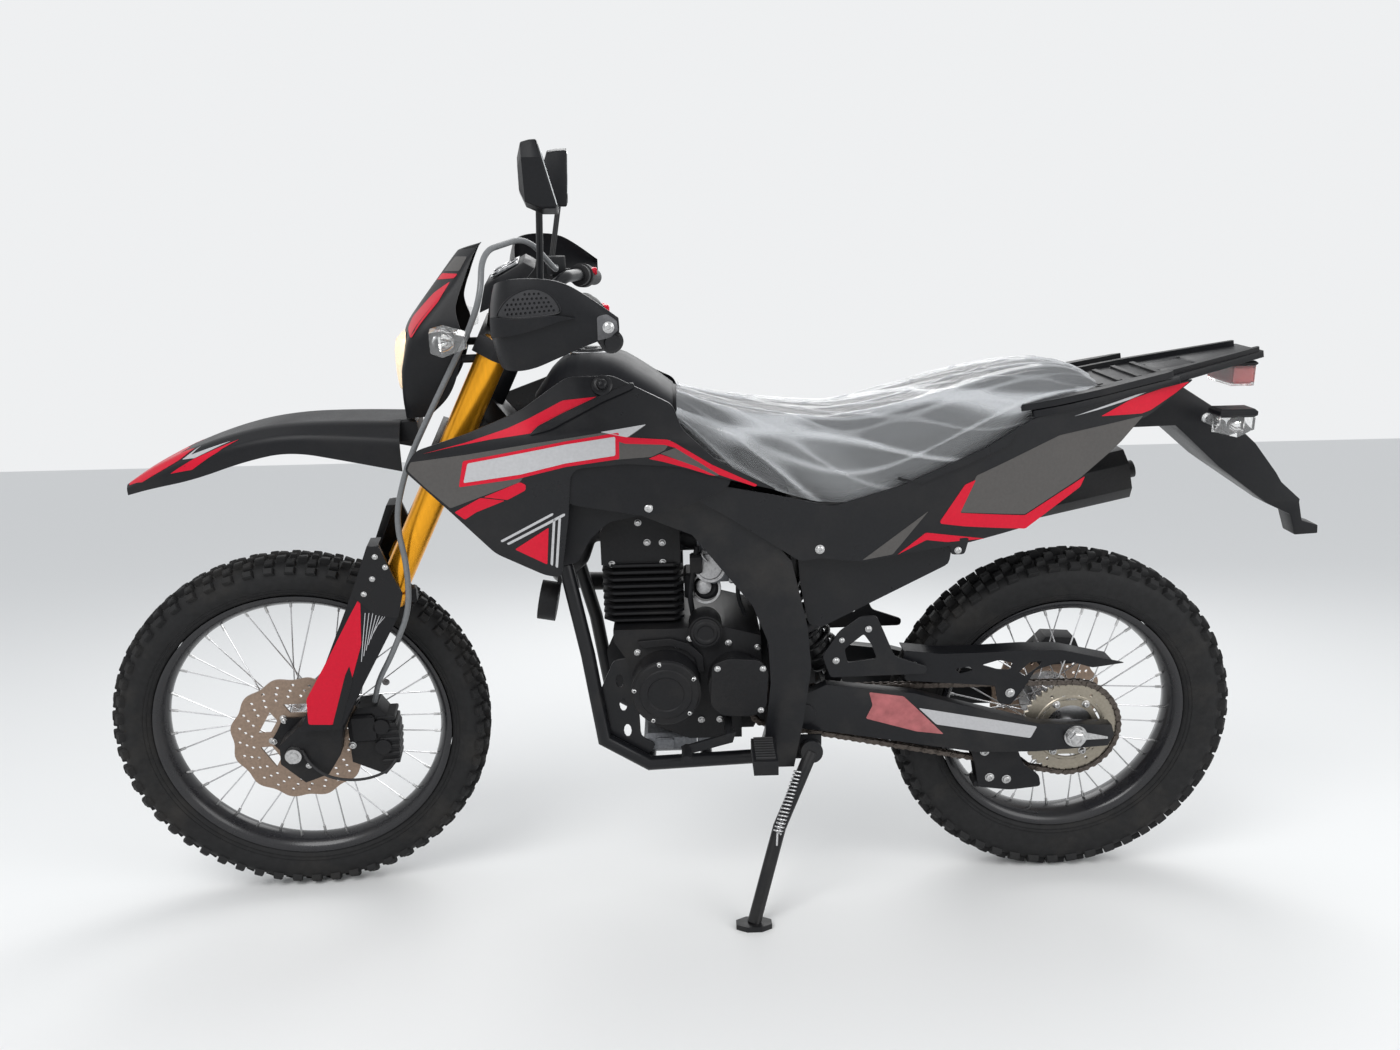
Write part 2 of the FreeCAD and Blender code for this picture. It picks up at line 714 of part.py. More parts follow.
def mirrors():
    """Upright stems from the lever brackets with deep angular heads."""
    parts = []
    head = ((-30, -52), (30, -40), (34, 30), (14, 54), (-22, 50), (-38, 0))
    for hand, word in ((-1, "left"), (1, "right")):
        perch = along_bar(hand, 186)[0] + Vector(-34, 0, 15.3)
        top = perch + Vector(12, hand * 26, 118)
        parts.append(rod(word + "_lock_nut", perch, perch + Vector(0, 0, 12), 9))
        parts.append(rod(word + "_stem", perch + Vector(0, 0, 6), top, 6))
        centre = top + Vector(-4, hand * 18, 44)
        ring = [centre + Vector(-16 - 0.10 * up, hand * 0.9 * across, up) for across, up in head]
        shell = Part.Face(Part.makePolygon(ring + ring[:1])).extrude(Vector(34, 0, 0))
        parts.append(feature(word + "_mirror_head", shell))
    return joined("mirrors", parts)


node(mirrors(), "mirrors", "steering")


def handguards():
    """Hand shields: the side outline within a band that wraps ahead of each lever."""
    side = ((430, 1120), (440, 1188), (505, 1204), (572, 1176), (612, 1152), (616, 1128), (578, 1120),
            (520, 1098), (468, 1074), (440, 1090))
    band = ((424, 205), (424, 372), (440, 412), (480, 428), (618, 428), (618, 420), (484, 420),
            (446, 404), (432, 370), (432, 205))
    parts = []
    for sign, word in (("-", "left"), ("", "right")):
        panel = plate(word + "_guard_side", "XZ_Plane", side, 900)
        wrap = plate(word + "_guard_band", "XY_Plane", [(x, sign + str(y)) for x, y in band], 3000)
        shell = common(word + "_guard_shell", panel, wrap)
        hand = -1 if sign else 1
        end, inward = along_bar(hand, -10)
        tab = rod(word + "_bar_end", end - inward * 3, end + inward * 9.7, 15)
        parts.extend((shell, tab))
    return joined("handguards", parts)


node(handguards(), "handguards", "steering")


def headlamp_mask():
    """Nose cowl: its side outline within its outline from the front, recessed for the lamp."""
    side = ((398, 1224), (359, 1216), (258, 1092), (247, 979), (246, 939), (290, 939), (340, 985),
            (362, 1046), (380, 1130))
    front = ((-52, 1224), (52, 1224), (84, 1150), (106, 1085), (98, 1000), (58, 939), (-58, 939),
             (-98, 1000), (-106, 1085), (-84, 1150))
    cowl = common("mask_block", plate("mask_side", "XZ_Plane", side, 240),
                  plate("mask_front", "YZ_Plane", front, 900))
    recess = plate("mask_recess", "YZ_Plane", ((-66, 982), (66, 982), (74, 1040), (56, 1086), (-56, 1086),
                                               (-74, 1040)), 100, 250)
    arms = [rod("%s_mask_arm" % word, Vector(350, side, 1046), Vector(392, side, 1046), 7)
            for word, side in (("left", -88), ("right", 88))]
    tubes = [rod("%s_mask_clamp" % word, leg_point(700, hand), leg_point(860, hand),
                 "upper_tube_radius + seat_gap") for word, hand in (("left", -1), ("right", 1))]
    return less("headlamp_mask", joined("mask_whole", [less("mask_hollowed", cowl, recess)] + arms),
                joined("mask_clamps", tubes))


node(headlamp_mask(), "headlamp_mask", "steering")
LAMP_WIDEST = 1040
LAMP_ROWS = (
    # x, half width, lowest, highest
    (299.7, 56, 984, 1083),
    (270, 64, 984, 1084),
    (252, 52, 990, 1072),
)


def lamp_section(row):
    x, half, low, high = row
    return ((-half, low), (half, low), (half + 6, LAMP_WIDEST), (half - 10, high), (-half + 10, high),
            (-half - 6, LAMP_WIDEST))


node(loft("headlamp", LAMP_ROWS, lamp_section), "headlamp", "steering")


def instrument_panel():
    """Hooded dial case on a bracket from the upper yoke."""
    case_side = ((392, 1118), (448, 1142), (488, 1188), (470, 1199), (404, 1164))
    case = plate("dial_case", "XZ_Plane", case_side, 150)
    seat = size.head_high + size.yoke_gap + size.yoke_thick + size.seat_gap
    low_front = axis_point(seat, -52)
    low_back = axis_point(seat, -30)
    leg = plate("dial_bracket", "XZ_Plane", ((low_front.x, low_front.z), (low_back.x, low_back.z), (434, 1140),
                                             (406, 1128)), 30)
    return joined("instrument_panel", [case, leg])


node(instrument_panel(), "instrument_panel", "steering")


def front_indicators():
    parts = []
    for hand, word in ((-1, "left"), (1, "right")):
        root = Vector(338, hand * 106.4, 1080)
        parts.append(rod(word + "_front_stalk", root, root + Vector(0, hand * 26, 0), 9))
        lamp = loft(word + "_front_lens", ((316, 24, 20), (336, 38, 25), (372, 30, 14)),
                    lambda row: ((hand * 130, 1084 - row[2]), (hand * (130 + row[1]), 1084 - row[2] + 4),
                                 (hand * (130 + row[1]), 1084 + row[2] - 4), (hand * 130, 1084 + row[2])))
        parts.append(lamp)
    return joined("front_indicators", parts)


node(front_indicators(), "front_indicators", "steering")
MUDGUARD_ROWS = (
    # x, crown, side edge, half width at the edge, half width at the crown
    (-258, 828, 812, 14, 8),
    (-190, 866, 832, 38, 22),
    (-110, 903, 848, 58, 34),
    (-19, 931, 880, 72, 42),
    (60, 941, 896, 80, 48),
    (150, 940, 874, 84, 52),
    (241, 935, 850, 86, 54),
)


def mudguard_section(row):
    """An arched channel: five corners outside, and the same within by the skin."""
    x, crown, edge, half, flat = row
    shoulder = crown - (crown - edge) * 0.35
    outer = [(-half, edge), (-half, shoulder), (-flat, crown), (flat, crown), (half, shoulder), (half, edge)]
    inner = [("%s + skin" % -half, edge), ("%s + skin" % -half, "%s - skin" % shoulder),
             ("%s + skin / 2" % -flat, "%s - skin" % crown), ("%s - skin / 2" % flat, "%s - skin" % crown),
             ("%s - skin" % half, "%s - skin" % shoulder), ("%s - skin" % half, edge)]
    return outer + inner[::-1]


beak = loft("mudguard_beak", MUDGUARD_ROWS, mudguard_section)
yoke_base = size.head_low - size.yoke_gap - size.yoke_thick - size.seat_gap
NECK_ROWS = ((yoke_base, -12), (yoke_base, -62), (yoke_base + 32, -99))
neck_top = [axis_point(along, behind) for along, behind in NECK_ROWS]
neck_low = [axis_point(yoke_base - 14, -78), axis_point(yoke_base - 14, -12)]
neck_side = [(point.x, point.z) for point in neck_top + neck_low]
neck_side[3:3] = [(236, 933), (222, 930), (222, 900)]
neck = plate("mudguard_neck", "XZ_Plane", neck_side, 84)
node(joined("front_mudguard", [beak, neck]), "front_mudguard", "steering")


def fork_guards():
    """Red shields outside and ahead of the inner tubes, open behind."""
    outer = ((20, 398), (92, 398), (215, 610), (226, 650), (196, 742), (176, 742), (140, 655))
    inner = ((34, 390), (110, 380), (240, 610), (240, 700), (206, 760), (188, 732), (152, 650))
    parts = []
    for hand, word in ((-1, "left"), (1, "right")):
        body = new_body(word + "_fork_guard")
        side = "%d * (leg_side + 15)" % -hand
        pad(body, outline(body, word + "GuardOutline", "XZ_Plane", outer, side), 44)
        cut(body, outline(body, word + "GuardInside", "XZ_Plane", inner,
                          "%d * (leg_side + 9)" % -hand), 44)
        parts.append(body)
    return joined("fork_guards", parts)


node(fork_guards(), "fork_guards", "steering")


def front_caliper():
    side = ((92, 300), (150, 268), (178, 300), (182, 360), (150, 412), (112, 410), (92, 380))
    block_side = plate("caliper_block", "XZ_Plane", side, 50, "front_disc_side")
    slot = turned("caliper_slot", (("-front_disc_side - disc_thick", 20), ("-front_disc_side + disc_thick", 20),
                                   ("-front_disc_side + disc_thick", "front_disc_radius + 5"),
                                   ("-front_disc_side - disc_thick", "front_disc_radius + 5")))
    slot.Placement.Base = Vector(0, 0, size.front_axle_z)
    return less("front_caliper", block_side, slot)


node(front_caliper(), "front_caliper", "steering")

hose_start = along_bar(1, 186)[0] + Vector(-44, -38 - 18 - size.seat_gap, 22)
HOSE_POINTS = (
    hose_start,
    hose_start - Vector(0, 58, 0),
    Vector(474, 44, 1230),
    Vector(405, -84, 1218),
    Vector(400, -134, 1152),
    Vector(374, -120, 1092),
    Vector(316, -120, 990),
    Vector(258, -130, 884),
    Vector(229, -138, 790),
    Vector(240, -139, 700),
    Vector(234, -136, 618),
    Vector(194, -124, 532),
    Vector(160, -98, 470),
    Vector(143, -70, 415.2),
)


def hose_bends(points):
    """Each arc is as large as its two runs allow."""
    bends = []
    for k in range(1, len(points) - 1):
        back = points[k - 1] - points[k]
        ahead = points[k + 1] - points[k]
        turn = math.pi - back.getAngle(ahead)
        bends.append(0.45 * min(back.Length, ahead.Length) / math.tan(turn / 2))
    return bends


hose_wire = path_wire(list(HOSE_POINTS), hose_bends(HOSE_POINTS))
hose_ring = Part.Wire(Part.makeCircle(size.hose_radius, HOSE_POINTS[0], HOSE_POINTS[1] - HOSE_POINTS[0]))
hose = hose_wire.makePipeShell([hose_ring], True, False)
print("hose bend radii", [round(bend) for bend in hose_bends(HOSE_POINTS)])
node(feature("front_brake_hose", hose), "front_brake_hose", "steering")

# Frame: steering head, two pressed spars, cradle and seat rails

head_outer = rod("head_outer", axis_point(size.head_low), axis_point(size.head_high), "head_radius")
head_tube = drilled("head_tube", head_outer, axis_point(size.head_low - 1), axis_point(size.head_high + 1),
                    "stem_radius + bore_gap")
SPAR_SIDE = ((392, 975), (480, 868), (700, 846), (800, 822), (913, 688), (941, 567), (948, 490), (934, 383),
             (918, 296), (850, 296), (866, 360), (876, 462), (872, 539), (845, 609), (743, 740), (600, 800),
             (470, 815), (385, 928))


def spar(sign, word):
    """One spar: its side outline within a band that spreads from the head to the pivot."""
    band = ((372, "0"), (372, "30"), (430, "42"), (620, "spar_outer - 6"), (700, "spar_outer"),
            (960, "spar_outer"), (960, "spar_inner"), (700, "spar_inner"), (620, "spar_inner - 8"), (450, "0"))
    rows = [(x, sign + "(" + y + ")") for x, y in band]
    return common(word + "_spar", plate(word + "_spar_side", "XZ_Plane", SPAR_SIDE, 400),
                  plate(word + "_spar_band", "XY_Plane", rows, 3000))


spar_pair = joined("spar_pair", [spar("-", "left"), spar("", "right")])
spars = drilled("spars_cleared", spar_pair, axis_point(size.head_low - 90), axis_point(size.head_high + 90),
                "head_radius - 2")


def stand_axis():
    """Axis of the stand's bolt, square to the leg's fold and tilted up to the left."""
    tilt = math.radians(size.stand_tilt)
    return Vector(0, -math.cos(tilt), math.sin(tilt))


stand_pivot = Vector(size.stand_pivot_x, size.stand_pivot_y, size.stand_pivot_z)
CROSS_ROWS = (
    # name, x, z, half length, radius
    ("pivot_cross", 893, 312, 122, 14),
    ("shock_cross", 898, 600, 122, 15),
    ("tank_cross", 690, 845.7, 130, 12),
)
crosses = [rod(name, Vector(x, -half, z), Vector(x, half, z), radius)
           for name, x, z, half, radius in CROSS_ROWS]
stand_plate = block("stand_plate", (896, -124, 300), (970, -118, 346))
stand_boss = rod("stand_boss", stand_pivot - stand_axis() * 16, stand_pivot - stand_axis() * 4.6, 17)
node(joined("frame", [head_tube, spars, stand_plate, stand_boss] + crosses), "frame", "chassis")


def cradle():
    down = [Vector(378, 0, 895), Vector(500, 0, 690)]
    shapes = [tube_shape(down, size.cradle_radius + 5, 0)]
    side = size.spar_inner - size.seat_gap - size.cradle_radius
    left = [Vector(500, 0, 690), Vector(518, -70, 660), Vector(551, -100, 506), Vector(574, -side, 340),
            Vector(655, -side, 289), Vector(874, -side, 298)]
    for points in both_sides(left):
        shapes.append(tube_shape(points, size.cradle_radius, 0))
    for x, z in ((655, 289), (760, 293.3)):
        shapes.append(tube_shape([Vector(x, -side, z), Vector(x, side, z)], size.cradle_radius - 2, 0))
    whole = feature("cradle_whole", shapes[0].multiFuse(shapes[1:]))
    head = rod("cradle_seat", axis_point(size.head_low), axis_point(size.head_high), "head_radius + seat_gap")
    yoke_room = rod("yoke_room", axis_point(size.head_low - 90), axis_point(size.head_low + 4), 41)
    return less("cradle", whole, joined("cradle_clear", [head, yoke_room]))


node(cradle(), "cradle", "chassis")


def subframe():
    side = size.spar_inner - size.seat_gap - size.rail_radius
    rail = [Vector(786, -side, 806), Vector(880, -side, 772), Vector(1000, -side, 776),
            Vector(1235, -104, 871.8), Vector(1330, -94, 906), Vector(1400, -84, 918), Vector(1504, -84, 930)]
    strut = [Vector(922, -side, 538), Vector(1119, -side, 653), Vector(1290, -97, 892)]
    shapes = []
    for points in both_sides(rail) + both_sides(strut):
        shapes.append(tube_shape(points, size.rail_radius, 0))
    for x, z, half in ((1060, 800.4, side - 1), (1400, 918, 84)):
        shapes.append(tube_shape([Vector(x, -half, z), Vector(x, half, z)], size.rail_radius - 1, 0))
    return feature("subframe", shapes[0].multiFuse(shapes[1:]))


node(subframe(), "subframe", "chassis")

# Engine

CASE_SIDE = ((620, 494), (598, 530), (598, 552), (800, 552), (862, 535), (866, 365), (850, 335), (730, 335),
             (668, 362), (637, 416))
COVER_ROWS = (
    # name, x, z, outer y, inner y, radius
    ("generator_cover", 690, 450, -150, -95, 62),
    ("sprocket_cover", 816, 456, -144, -95, 50),
    ("starter_cover", 763, 548, -112, -60, 30),
    ("clutch_cover", 785, 440, 140, 95, 74),
    ("crank_cover", 690, 450, 130, 95, 50),
    ("output_boss", 868, 385, -62, -30, 20),
    ("output_shaft", 878, 385, -90, -40, 11),
    ("front_sprocket", 878, 385, -82, -74, 28),
)
crankcase = plate("crankcase", "XZ_Plane", CASE_SIDE, "2 * case_half")
covers = [rod(name, Vector(x, min(first, last), z), Vector(x, max(first, last), z), radius)
          for name, x, z, first, last, radius in COVER_ROWS]
mount_low = block("lower_mount", (745, -24, 304.6), (775, 24, 340))
mount_rear = block("rear_mount", (850, -24, 338), (878.7, 24, 372))
chain_room = block("chain_room", (826, -101, 330), (870, -62, 436))
solid_case = joined("case_whole", [less("case_cut", crankcase, chain_room), mount_low, mount_rear] + covers)
node(solid_case, "engine_crankcase", "chassis")


def engine_top_end():
    """Finned cylinder and head in one stack, with the rocker cover above."""
    body = new_body("cylinder_stack")
    core = ((600, -56), (714, -56), (714, 56), (600, 56))
    pad(body, outline(body, "CylinderCore", "XY_Plane", core, 608.8), 113)
    fin = ((580, -58), (600, -76), (708, -76), (726, -58), (726, 58), (708, 76), (600, 76), (580, 58))
    first = pad(body, outline(body, "CylinderFin", "XY_Plane", fin, 560.5), "fin_thick")
    row = body.newObject("PartDesign::LinearPattern", "FinRow")
    row.Originals = [first]
    row.Direction = (origin_plane(body, "Z_Axis"), [""])
    row.setExpression("Length", cell("fin_pitch * (fin_count - 1)"))
    row.setExpression("Occurrences", cell("fin_count"))
    body.Tip = row
    head_side = ((580, 664), (722, 664), (722, 725), (700, 768), (606, 768), (580, 725))
    head = plate("cylinder_head", "XZ_Plane", head_side, 136)
    return joined("engine_top_end_block", [body, head])


node(engine_top_end(), "engine_top_end", "chassis")


def carburettor():
    parts = [
        rod("intake", Vector(722.3, 0, 690), Vector(760, 0, 690), 22),
        block("carburettor_body", (752, -32, 615), (812, 32, 716)),
        rod("carburettor_dome", Vector(780, -50, 640), Vector(780, 0, 640), 22),
        rod("air_boot", Vector(805, 0, 684), Vector(924.7, 0, 684), 28),
    ]
    return joined("carburettor", parts)


node(carburettor(), "carburettor", "chassis")
AIR_BOX = ((925, 640), (1060, 650), (1130, 700), (1130, 775), (925, 765))
air_box_wide = "2 * (spar_inner - seat_gap - 2 * rail_radius - seat_gap)"
node(plate("air_box", "XZ_Plane", AIR_BOX, air_box_wide), "air_box", "chassis")

# Exhaust, all on the right behind the engine

HEADER_POINTS = (
    Vector(579.7, 24, 700),
    Vector(551, 24, 700),
    Vector(533, 30, 650),
    Vector(497, 46, 618),
    Vector(486, 110, 592),
    Vector(532, 152, 560),
    Vector(612, 168, 552),
    Vector(900, 178, 575),
    Vector(1060, 172, 632),
    Vector(1150, 158, 662),
)


def exhaust_header():
    return feature("exhaust_header", tube_shape(list(HEADER_POINTS), size.header_radius, 28))


node(exhaust_header(), "exhaust_header", "chassis")
silencer_front = Vector(1140, size.silencer_side, 660)
silencer_back = Vector(1595, size.silencer_side, 758)


def silencer():
    """A canister with chamfered edges, its axis rising to the rear."""
    axis = silencer_back - silencer_front
    up = Vector(-axis.z, 0, axis.x).normalize()
    wide, tall = size.silencer_wide / 2, size.silencer_tall / 2
    corners = ((-wide, -tall + 24), (-wide, tall - 24), (-wide + 20, tall), (wide - 20, tall),
               (wide, tall - 24), (wide, -tall + 24), (wide - 20, -tall), (-wide + 20, -tall))
    sections = []
    for share, scale in ((0, 0.5), (0.14, 1.0), (1.0, 1.0)):
        ring = [silencer_front + axis * share + Y_AXIS * a * scale + up * b * scale for a, b in corners]
        sections.append(Part.makePolygon(ring + ring[:1]))
    shell = Part.makeLoft(sections, True, True)
    outlet = Part.makeCylinder(17, 22, silencer_back - axis.normalize() * 2, silencer_back - silencer_front)
    hanger = Part.makeBox(5, 36, 152, Vector(1408, 88, 754))
    pipe_end = HEADER_POINTS[-1]
    pipe_back = HEADER_POINTS[-2] - pipe_end
    clear = Part.makeCylinder(size.header_radius + size.seat_gap, 60, pipe_end - pipe_back.normalize() * 0.4,
                              pipe_back)
    return feature("silencer", shell.multiFuse([outlet, hanger]).cut(clear))


node(silencer(), "silencer", "chassis")

# Tank, seat and panels

TANK_ROWS = (
    # x, underside, side edge, crown, half width low, half width high
    (478, 885, 930, 968, 62, 44),
    (525, 876, 980, 1034, 112, 76),
    (612, 862, 985, 1038, 140, 96),
    (670, 858, 960, 1003, 136, 98),
    (716, 858, 930, 968, 116, 92),
)


def six_corner_section(row):
    """Underside, two side edges and a flat crown."""
    x, low, edge, crown, wide, narrow = row
    return ((-wide + 12, low), (wide - 12, low), (wide, edge), (narrow, crown), (-narrow, crown), (-wide, edge))


tank_body = loft("tank_body", TANK_ROWS, six_corner_section)
tank_cap = rod("tank_cap", Vector(575, 0, 1030), Vector(575, 0, 1046), 36)
node(joined("fuel_tank", [tank_body, tank_cap]), "fuel_tank", "chassis")

SEAT_ROWS = (
    # x, underside, side edge, crown, half width low, half width high
    (716.3, 925, 942, 968, 92, 62),
    (800, 866, 905, 945, 112, 78),
    (900, 822, 880, 930, 130, 92),
    (1000, 800, 870, 922, 142, 104),
    (1110, 834, 895, 946, 144, 108),
    (1235, 884, 930, 980, 138, 104),
    (1330, 932, 955, 997, 120, 92),
    (1400, 950, 962, 996, 100, 76),
    (1448, 956, 960, 968, 82, 60),
)
node(loft("seat", SEAT_ROWS, six_corner_section), "seat", "chassis")


def panel_pair(name, side, band):
    """A panel and its mirror image: the side outline within a band seen from above."""
    parts = []
    for sign, word in (("-", "left"), ("", "right")):
        rows = [(x, sign + str(y)) for x, y in band]
        rows += [(x, sign + "(" + str(y) + " - skin)") for x, y in reversed(band)]
        parts.append(common("%s_%s" % (word, name), plate("%s_%s_side" % (word, name), "XZ_Plane", side, 600),
                            plate("%s_%s_band" % (word, name), "XY_Plane", rows, 3000)))
    return parts


SHROUD_SIDE = ((283, 880), (303, 910), (388, 936), (473, 968), (522, 1000), (545, 1014), (618, 1014),
               (716, 966), (730, 929), (787, 874), (889, 817), (808, 840), (722, 868), (638, 877), (554, 873),
               (479, 856), (521, 780), (516, 687), (498, 693), (419, 735), (353, 807))
SHROUD_ROWS = (
    # x, side at the foot, side at the bend, height of the bend, side at the top
    (280, 205, 212, 896, 176),
    (388, 206, 212, 912, 166),
    (480, 202, 208, 920, 146),
    (612, 190, 196, 925, 128),
    (722, 177, 184, 915, 104),
    (808, 164, 171, 880, 112),
    (893, 150, 156, 850, 118),
)


def bent_section(row):
    """A strip that leans inwards above its bend."""
    x, foot, bend, height, top = row
    return ((-foot, 650), (-bend, height), (-top, 1040), ("-%s + skin * 1.3" % top, 1040),
            ("-%s + skin" % bend, height - 3), ("-%s + skin" % foot, 650))


left_shroud = common("shroud_panel", plate("shroud_side", "XZ_Plane", SHROUD_SIDE, 600),
                     loft("shroud_band", SHROUD_ROWS, bent_section))
node(left_shroud, "shroud_left", "chassis")
node(mirrored(left_shroud, "shroud_mirrored"), "shroud_right", "chassis")
SPEAR_SIDE = ((487, 850), (560, 885), (640, 890), (722, 880), (812, 850), (806, 828), (740, 800), (668, 785),
              (550, 810))
SPEAR_BAND = ((487, 198), (612, 188), (722, 176.5), (812, 163))


def bosses(name, x, z, panel_side):
    """A fixing boss each side, from a panel's inner face to the spar's outer face."""
    rows = ((name + "_left", -panel_side, -size.spar_outer - size.seat_gap),
            (name + "_right", size.spar_outer + size.seat_gap, panel_side))
    return [rod(word, Vector(x, low, z), Vector(x, high, z), 8) for word, low, high in rows]


trims = panel_pair("knee_trim", SPEAR_SIDE, SPEAR_BAND)
node(joined("knee_trims", trims + bosses("trim_boss", 712, 812, 174)), "knee_trims", "chassis")

COVER_SIDE = ((729, 819), (800, 826), (893, 806), (983, 786), (1095, 818), (1235, 878), (1316, 925.55),
              (1599, 978.2), (1521, 922), (1496, 911), (1462, 868), (1311, 738), (1216, 715), (1094, 697),
              (1037, 686), (959, 695), (927, 690), (800, 776))
COVER_BAND = ((728, 166), (812, 156), (930, 154), (1235, 151), (1316, 143), (1500, 122), (1610, 96))
covers_flat = panel_pair("side_cover", COVER_SIDE, COVER_BAND)
cover_bosses = bosses("cover_boss", 850, 756, 155)
node(joined("side_cover_left", [covers_flat[0], cover_bosses[0]]), "side_cover_left", "chassis")
right_whole = joined("side_cover_right_whole", [covers_flat[1], cover_bosses[1]])
# the right cover opens round the silencer
canister_room = Part.makeBox(640, 130, 124, Vector(1100, 90, 592))
canister_room.rotate(silencer_front, Y_AXIS, -math.degrees(math.atan2(98, 455)))
node(less("side_cover_right", right_whole, feature("canister_room", canister_room)), "side_cover_right",
     "chassis")

# Rack, tail and rear mudguard

rack_tilt = math.degrees(math.atan2(80, 430))
rack_start = Vector(1316, 0, 932)
RACK_OUTLINE = ((0, 128), (0, 142), (60, 146), (255, 116), (262, 104), (430, 50), (430, -50), (262, -104),
                (255, -116), (60, -146), (0, -142), (0, -128), (110, -108), (138, -96), (138, 96), (110, 108))


def luggage_rack():
    """A tilted carrier plate between two grab ears, with four bolt holes on a circle."""
    body = new_body("rack_plate")
    pad(body, outline(body, "RackOutline", "XY_Plane", RACK_OUTLINE), "rack_thick")
    doc.recompute()
    for k in range(4):
        across = "rack_bolt_circle / 2 * cos(%d deg)" % (45 + 90 * k)
        along = "rack_bolt_circle / 2 * sin(%d deg)" % (45 + 90 * k)
        sketch = circle(body, "RackHole%d" % k, "XY_Plane", ("285 + " + across, along), "rack_hole_radius")
        cut(body, sketch, "rack_thick * 3")
    return body


node(luggage_rack(), "luggage_rack", "rack")

TAIL_SIDE = ((1590, 962), (1665, 915), (1734, 857), (1801, 780), (1850, 742), (1862, 700), (1893, 690),
             (1895, 674), (1852, 672), (1838, 712), (1790, 735), (1676, 815), (1587, 893), (1440, 890),
             (1440, 922), (1560, 950))
TAIL_FRONT = ((-72.7, 990), (72.7, 990), (72.7, 880), (58, 800), (24, 735), (20, 640), (-20, 640),
              (-24, 735), (-58, 800), (-72.7, 880))
node(common("rear_mudguard", plate("tail_side", "XZ_Plane", TAIL_SIDE, 200),
            plate("tail_front", "YZ_Plane", TAIL_FRONT, 5000)), "rear_mudguard", "chassis")


def rear_lamps():
    """Tail lamp under the rack's end and an indicator on a stalk each side."""
    parts = [block("tail_lamp", (1690, -45, 955), (1730, 45, 995.2))]
    for hand, word in ((-1, "left"), (1, "right")):
        root = Vector(1640, hand * 73, 905)
        parts.append(rod(word + "_rear_stalk", root, root + Vector(0, hand * 54, 0), 9))
        lamp = loft(word + "_rear_lens", ((1626, 30, 18), (1650, 40, 24), (1684, 28, 14)),
                    lambda row: ((hand * 122, 909 - row[2]), (hand * (122 + row[1]), 909 - row[2] + 4),
                                 (hand * (122 + row[1]), 909 + row[2] - 4), (hand * 122, 909 + row[2])))
        parts.append(lamp)
    return joined("rear_lamps", parts)


node(rear_lamps(), "rear_lamps", "chassis")

# Swingarm, shock absorber and final drive


def from_pivot(*points):
    """Corners given from the swingarm pivot."""
    return [("pivot_x + (%g)" % x, "pivot_z + (%g)" % z) for x, z in points]


def from_rear_axle(*points):
    """Corners given from the rear axle."""
    return [("wheelbase + (%g)" % x, "rear_axle_z + (%g)" % z) for x, z in points]


def swingarm():
    side = from_pivot((-26, -26), (-26, 26), (40, 56), (200, 34))
    side += from_rear_axle((-70, 26), (66, 20), (72, 0), (62, -22), (-70, -30), (-180, -28))
    side += from_pivot((60, -40))
    beams = []
    for hand, word in ((-1, "left"), (1, "right")):
        middle = "%d * (arm_inner + arm_outer) / 2" % -hand
        beams.append(plate(word + "_beam", "XZ_Plane", side, "arm_outer - arm_inner", middle))
    reach = size.spar_inner - size.seat_gap
    cross = rod("arm_cross", Vector(size.pivot_x, -reach, size.pivot_z),
                Vector(size.pivot_x, reach, size.pivot_z), "pivot_radius")
    bridge = block("arm_bridge", (size.pivot_x + 45, -size.arm_inner - 4, size.pivot_z - 31),
                   (size.pivot_x + 85, size.arm_inner + 4, size.pivot_z + 11))
    whole = joined("swingarm_solid", beams + [cross, bridge])
    return drilled("swingarm", whole, Vector(size.wheelbase, -150, size.rear_axle_z),
                   Vector(size.wheelbase, 150, size.rear_axle_z), "axle_radius + 0.05")


node(swingarm(), "swingarm", "chassis")


def rear_axle():
    x, height = size.wheelbase, size.rear_axle_z
    hub_left = size.sprocket_side - size.sprocket_thick / 2 - 0.3
    hub_right = size.rear_disc_side - size.disc_thick / 2 - 0.3
    out = size.arm_outer
    parts = [rod("rear_shaft", Vector(x, -out - 16, height), Vector(x, out + 16, height), "axle_radius")]
    spans = (
        ("rear_left_spacer", -size.arm_inner + 0.3, -hub_left - 0.6, "hub_end_radius - 5"),
        ("rear_right_spacer", hub_right + 0.6, size.arm_inner - 0.3, "hub_end_radius - 5"),
        ("rear_left_nut", -out - 13, -out - 0.3, "axle_radius + 7"),
        ("rear_right_nut", out + 0.3, out + 13, "axle_radius + 7"),
    )
    for name, left, right, radius in spans:
        parts.append(rod(name, Vector(x, left, height), Vector(x, right, height), radius))
    return joined("rear_axle", parts)


node(rear_axle(), "rear_axle", "chassis")


def shock_absorber():
    low = Vector(size.pivot_x + 65, 0, size.pivot_z + 11 + 16 + size.seat_gap)
    mount = Vector(898, 0, 600)
    high = mount + (low - mount).normalize() * (15 + 16 + size.seat_gap)
    run = high - low
    parts = [rod("damper", low, high, 14), rod("spring", low + run * 0.2, low + run * 0.8, 30)]
    for name, eye in (("low_eye", low), ("high_eye", high)):
        parts.append(rod(name, eye - Y_AXIS * 18, eye + Y_AXIS * 18, 16))
    return joined("shock_absorber", parts)


node(shock_absorber(), "shock_absorber", "chassis")


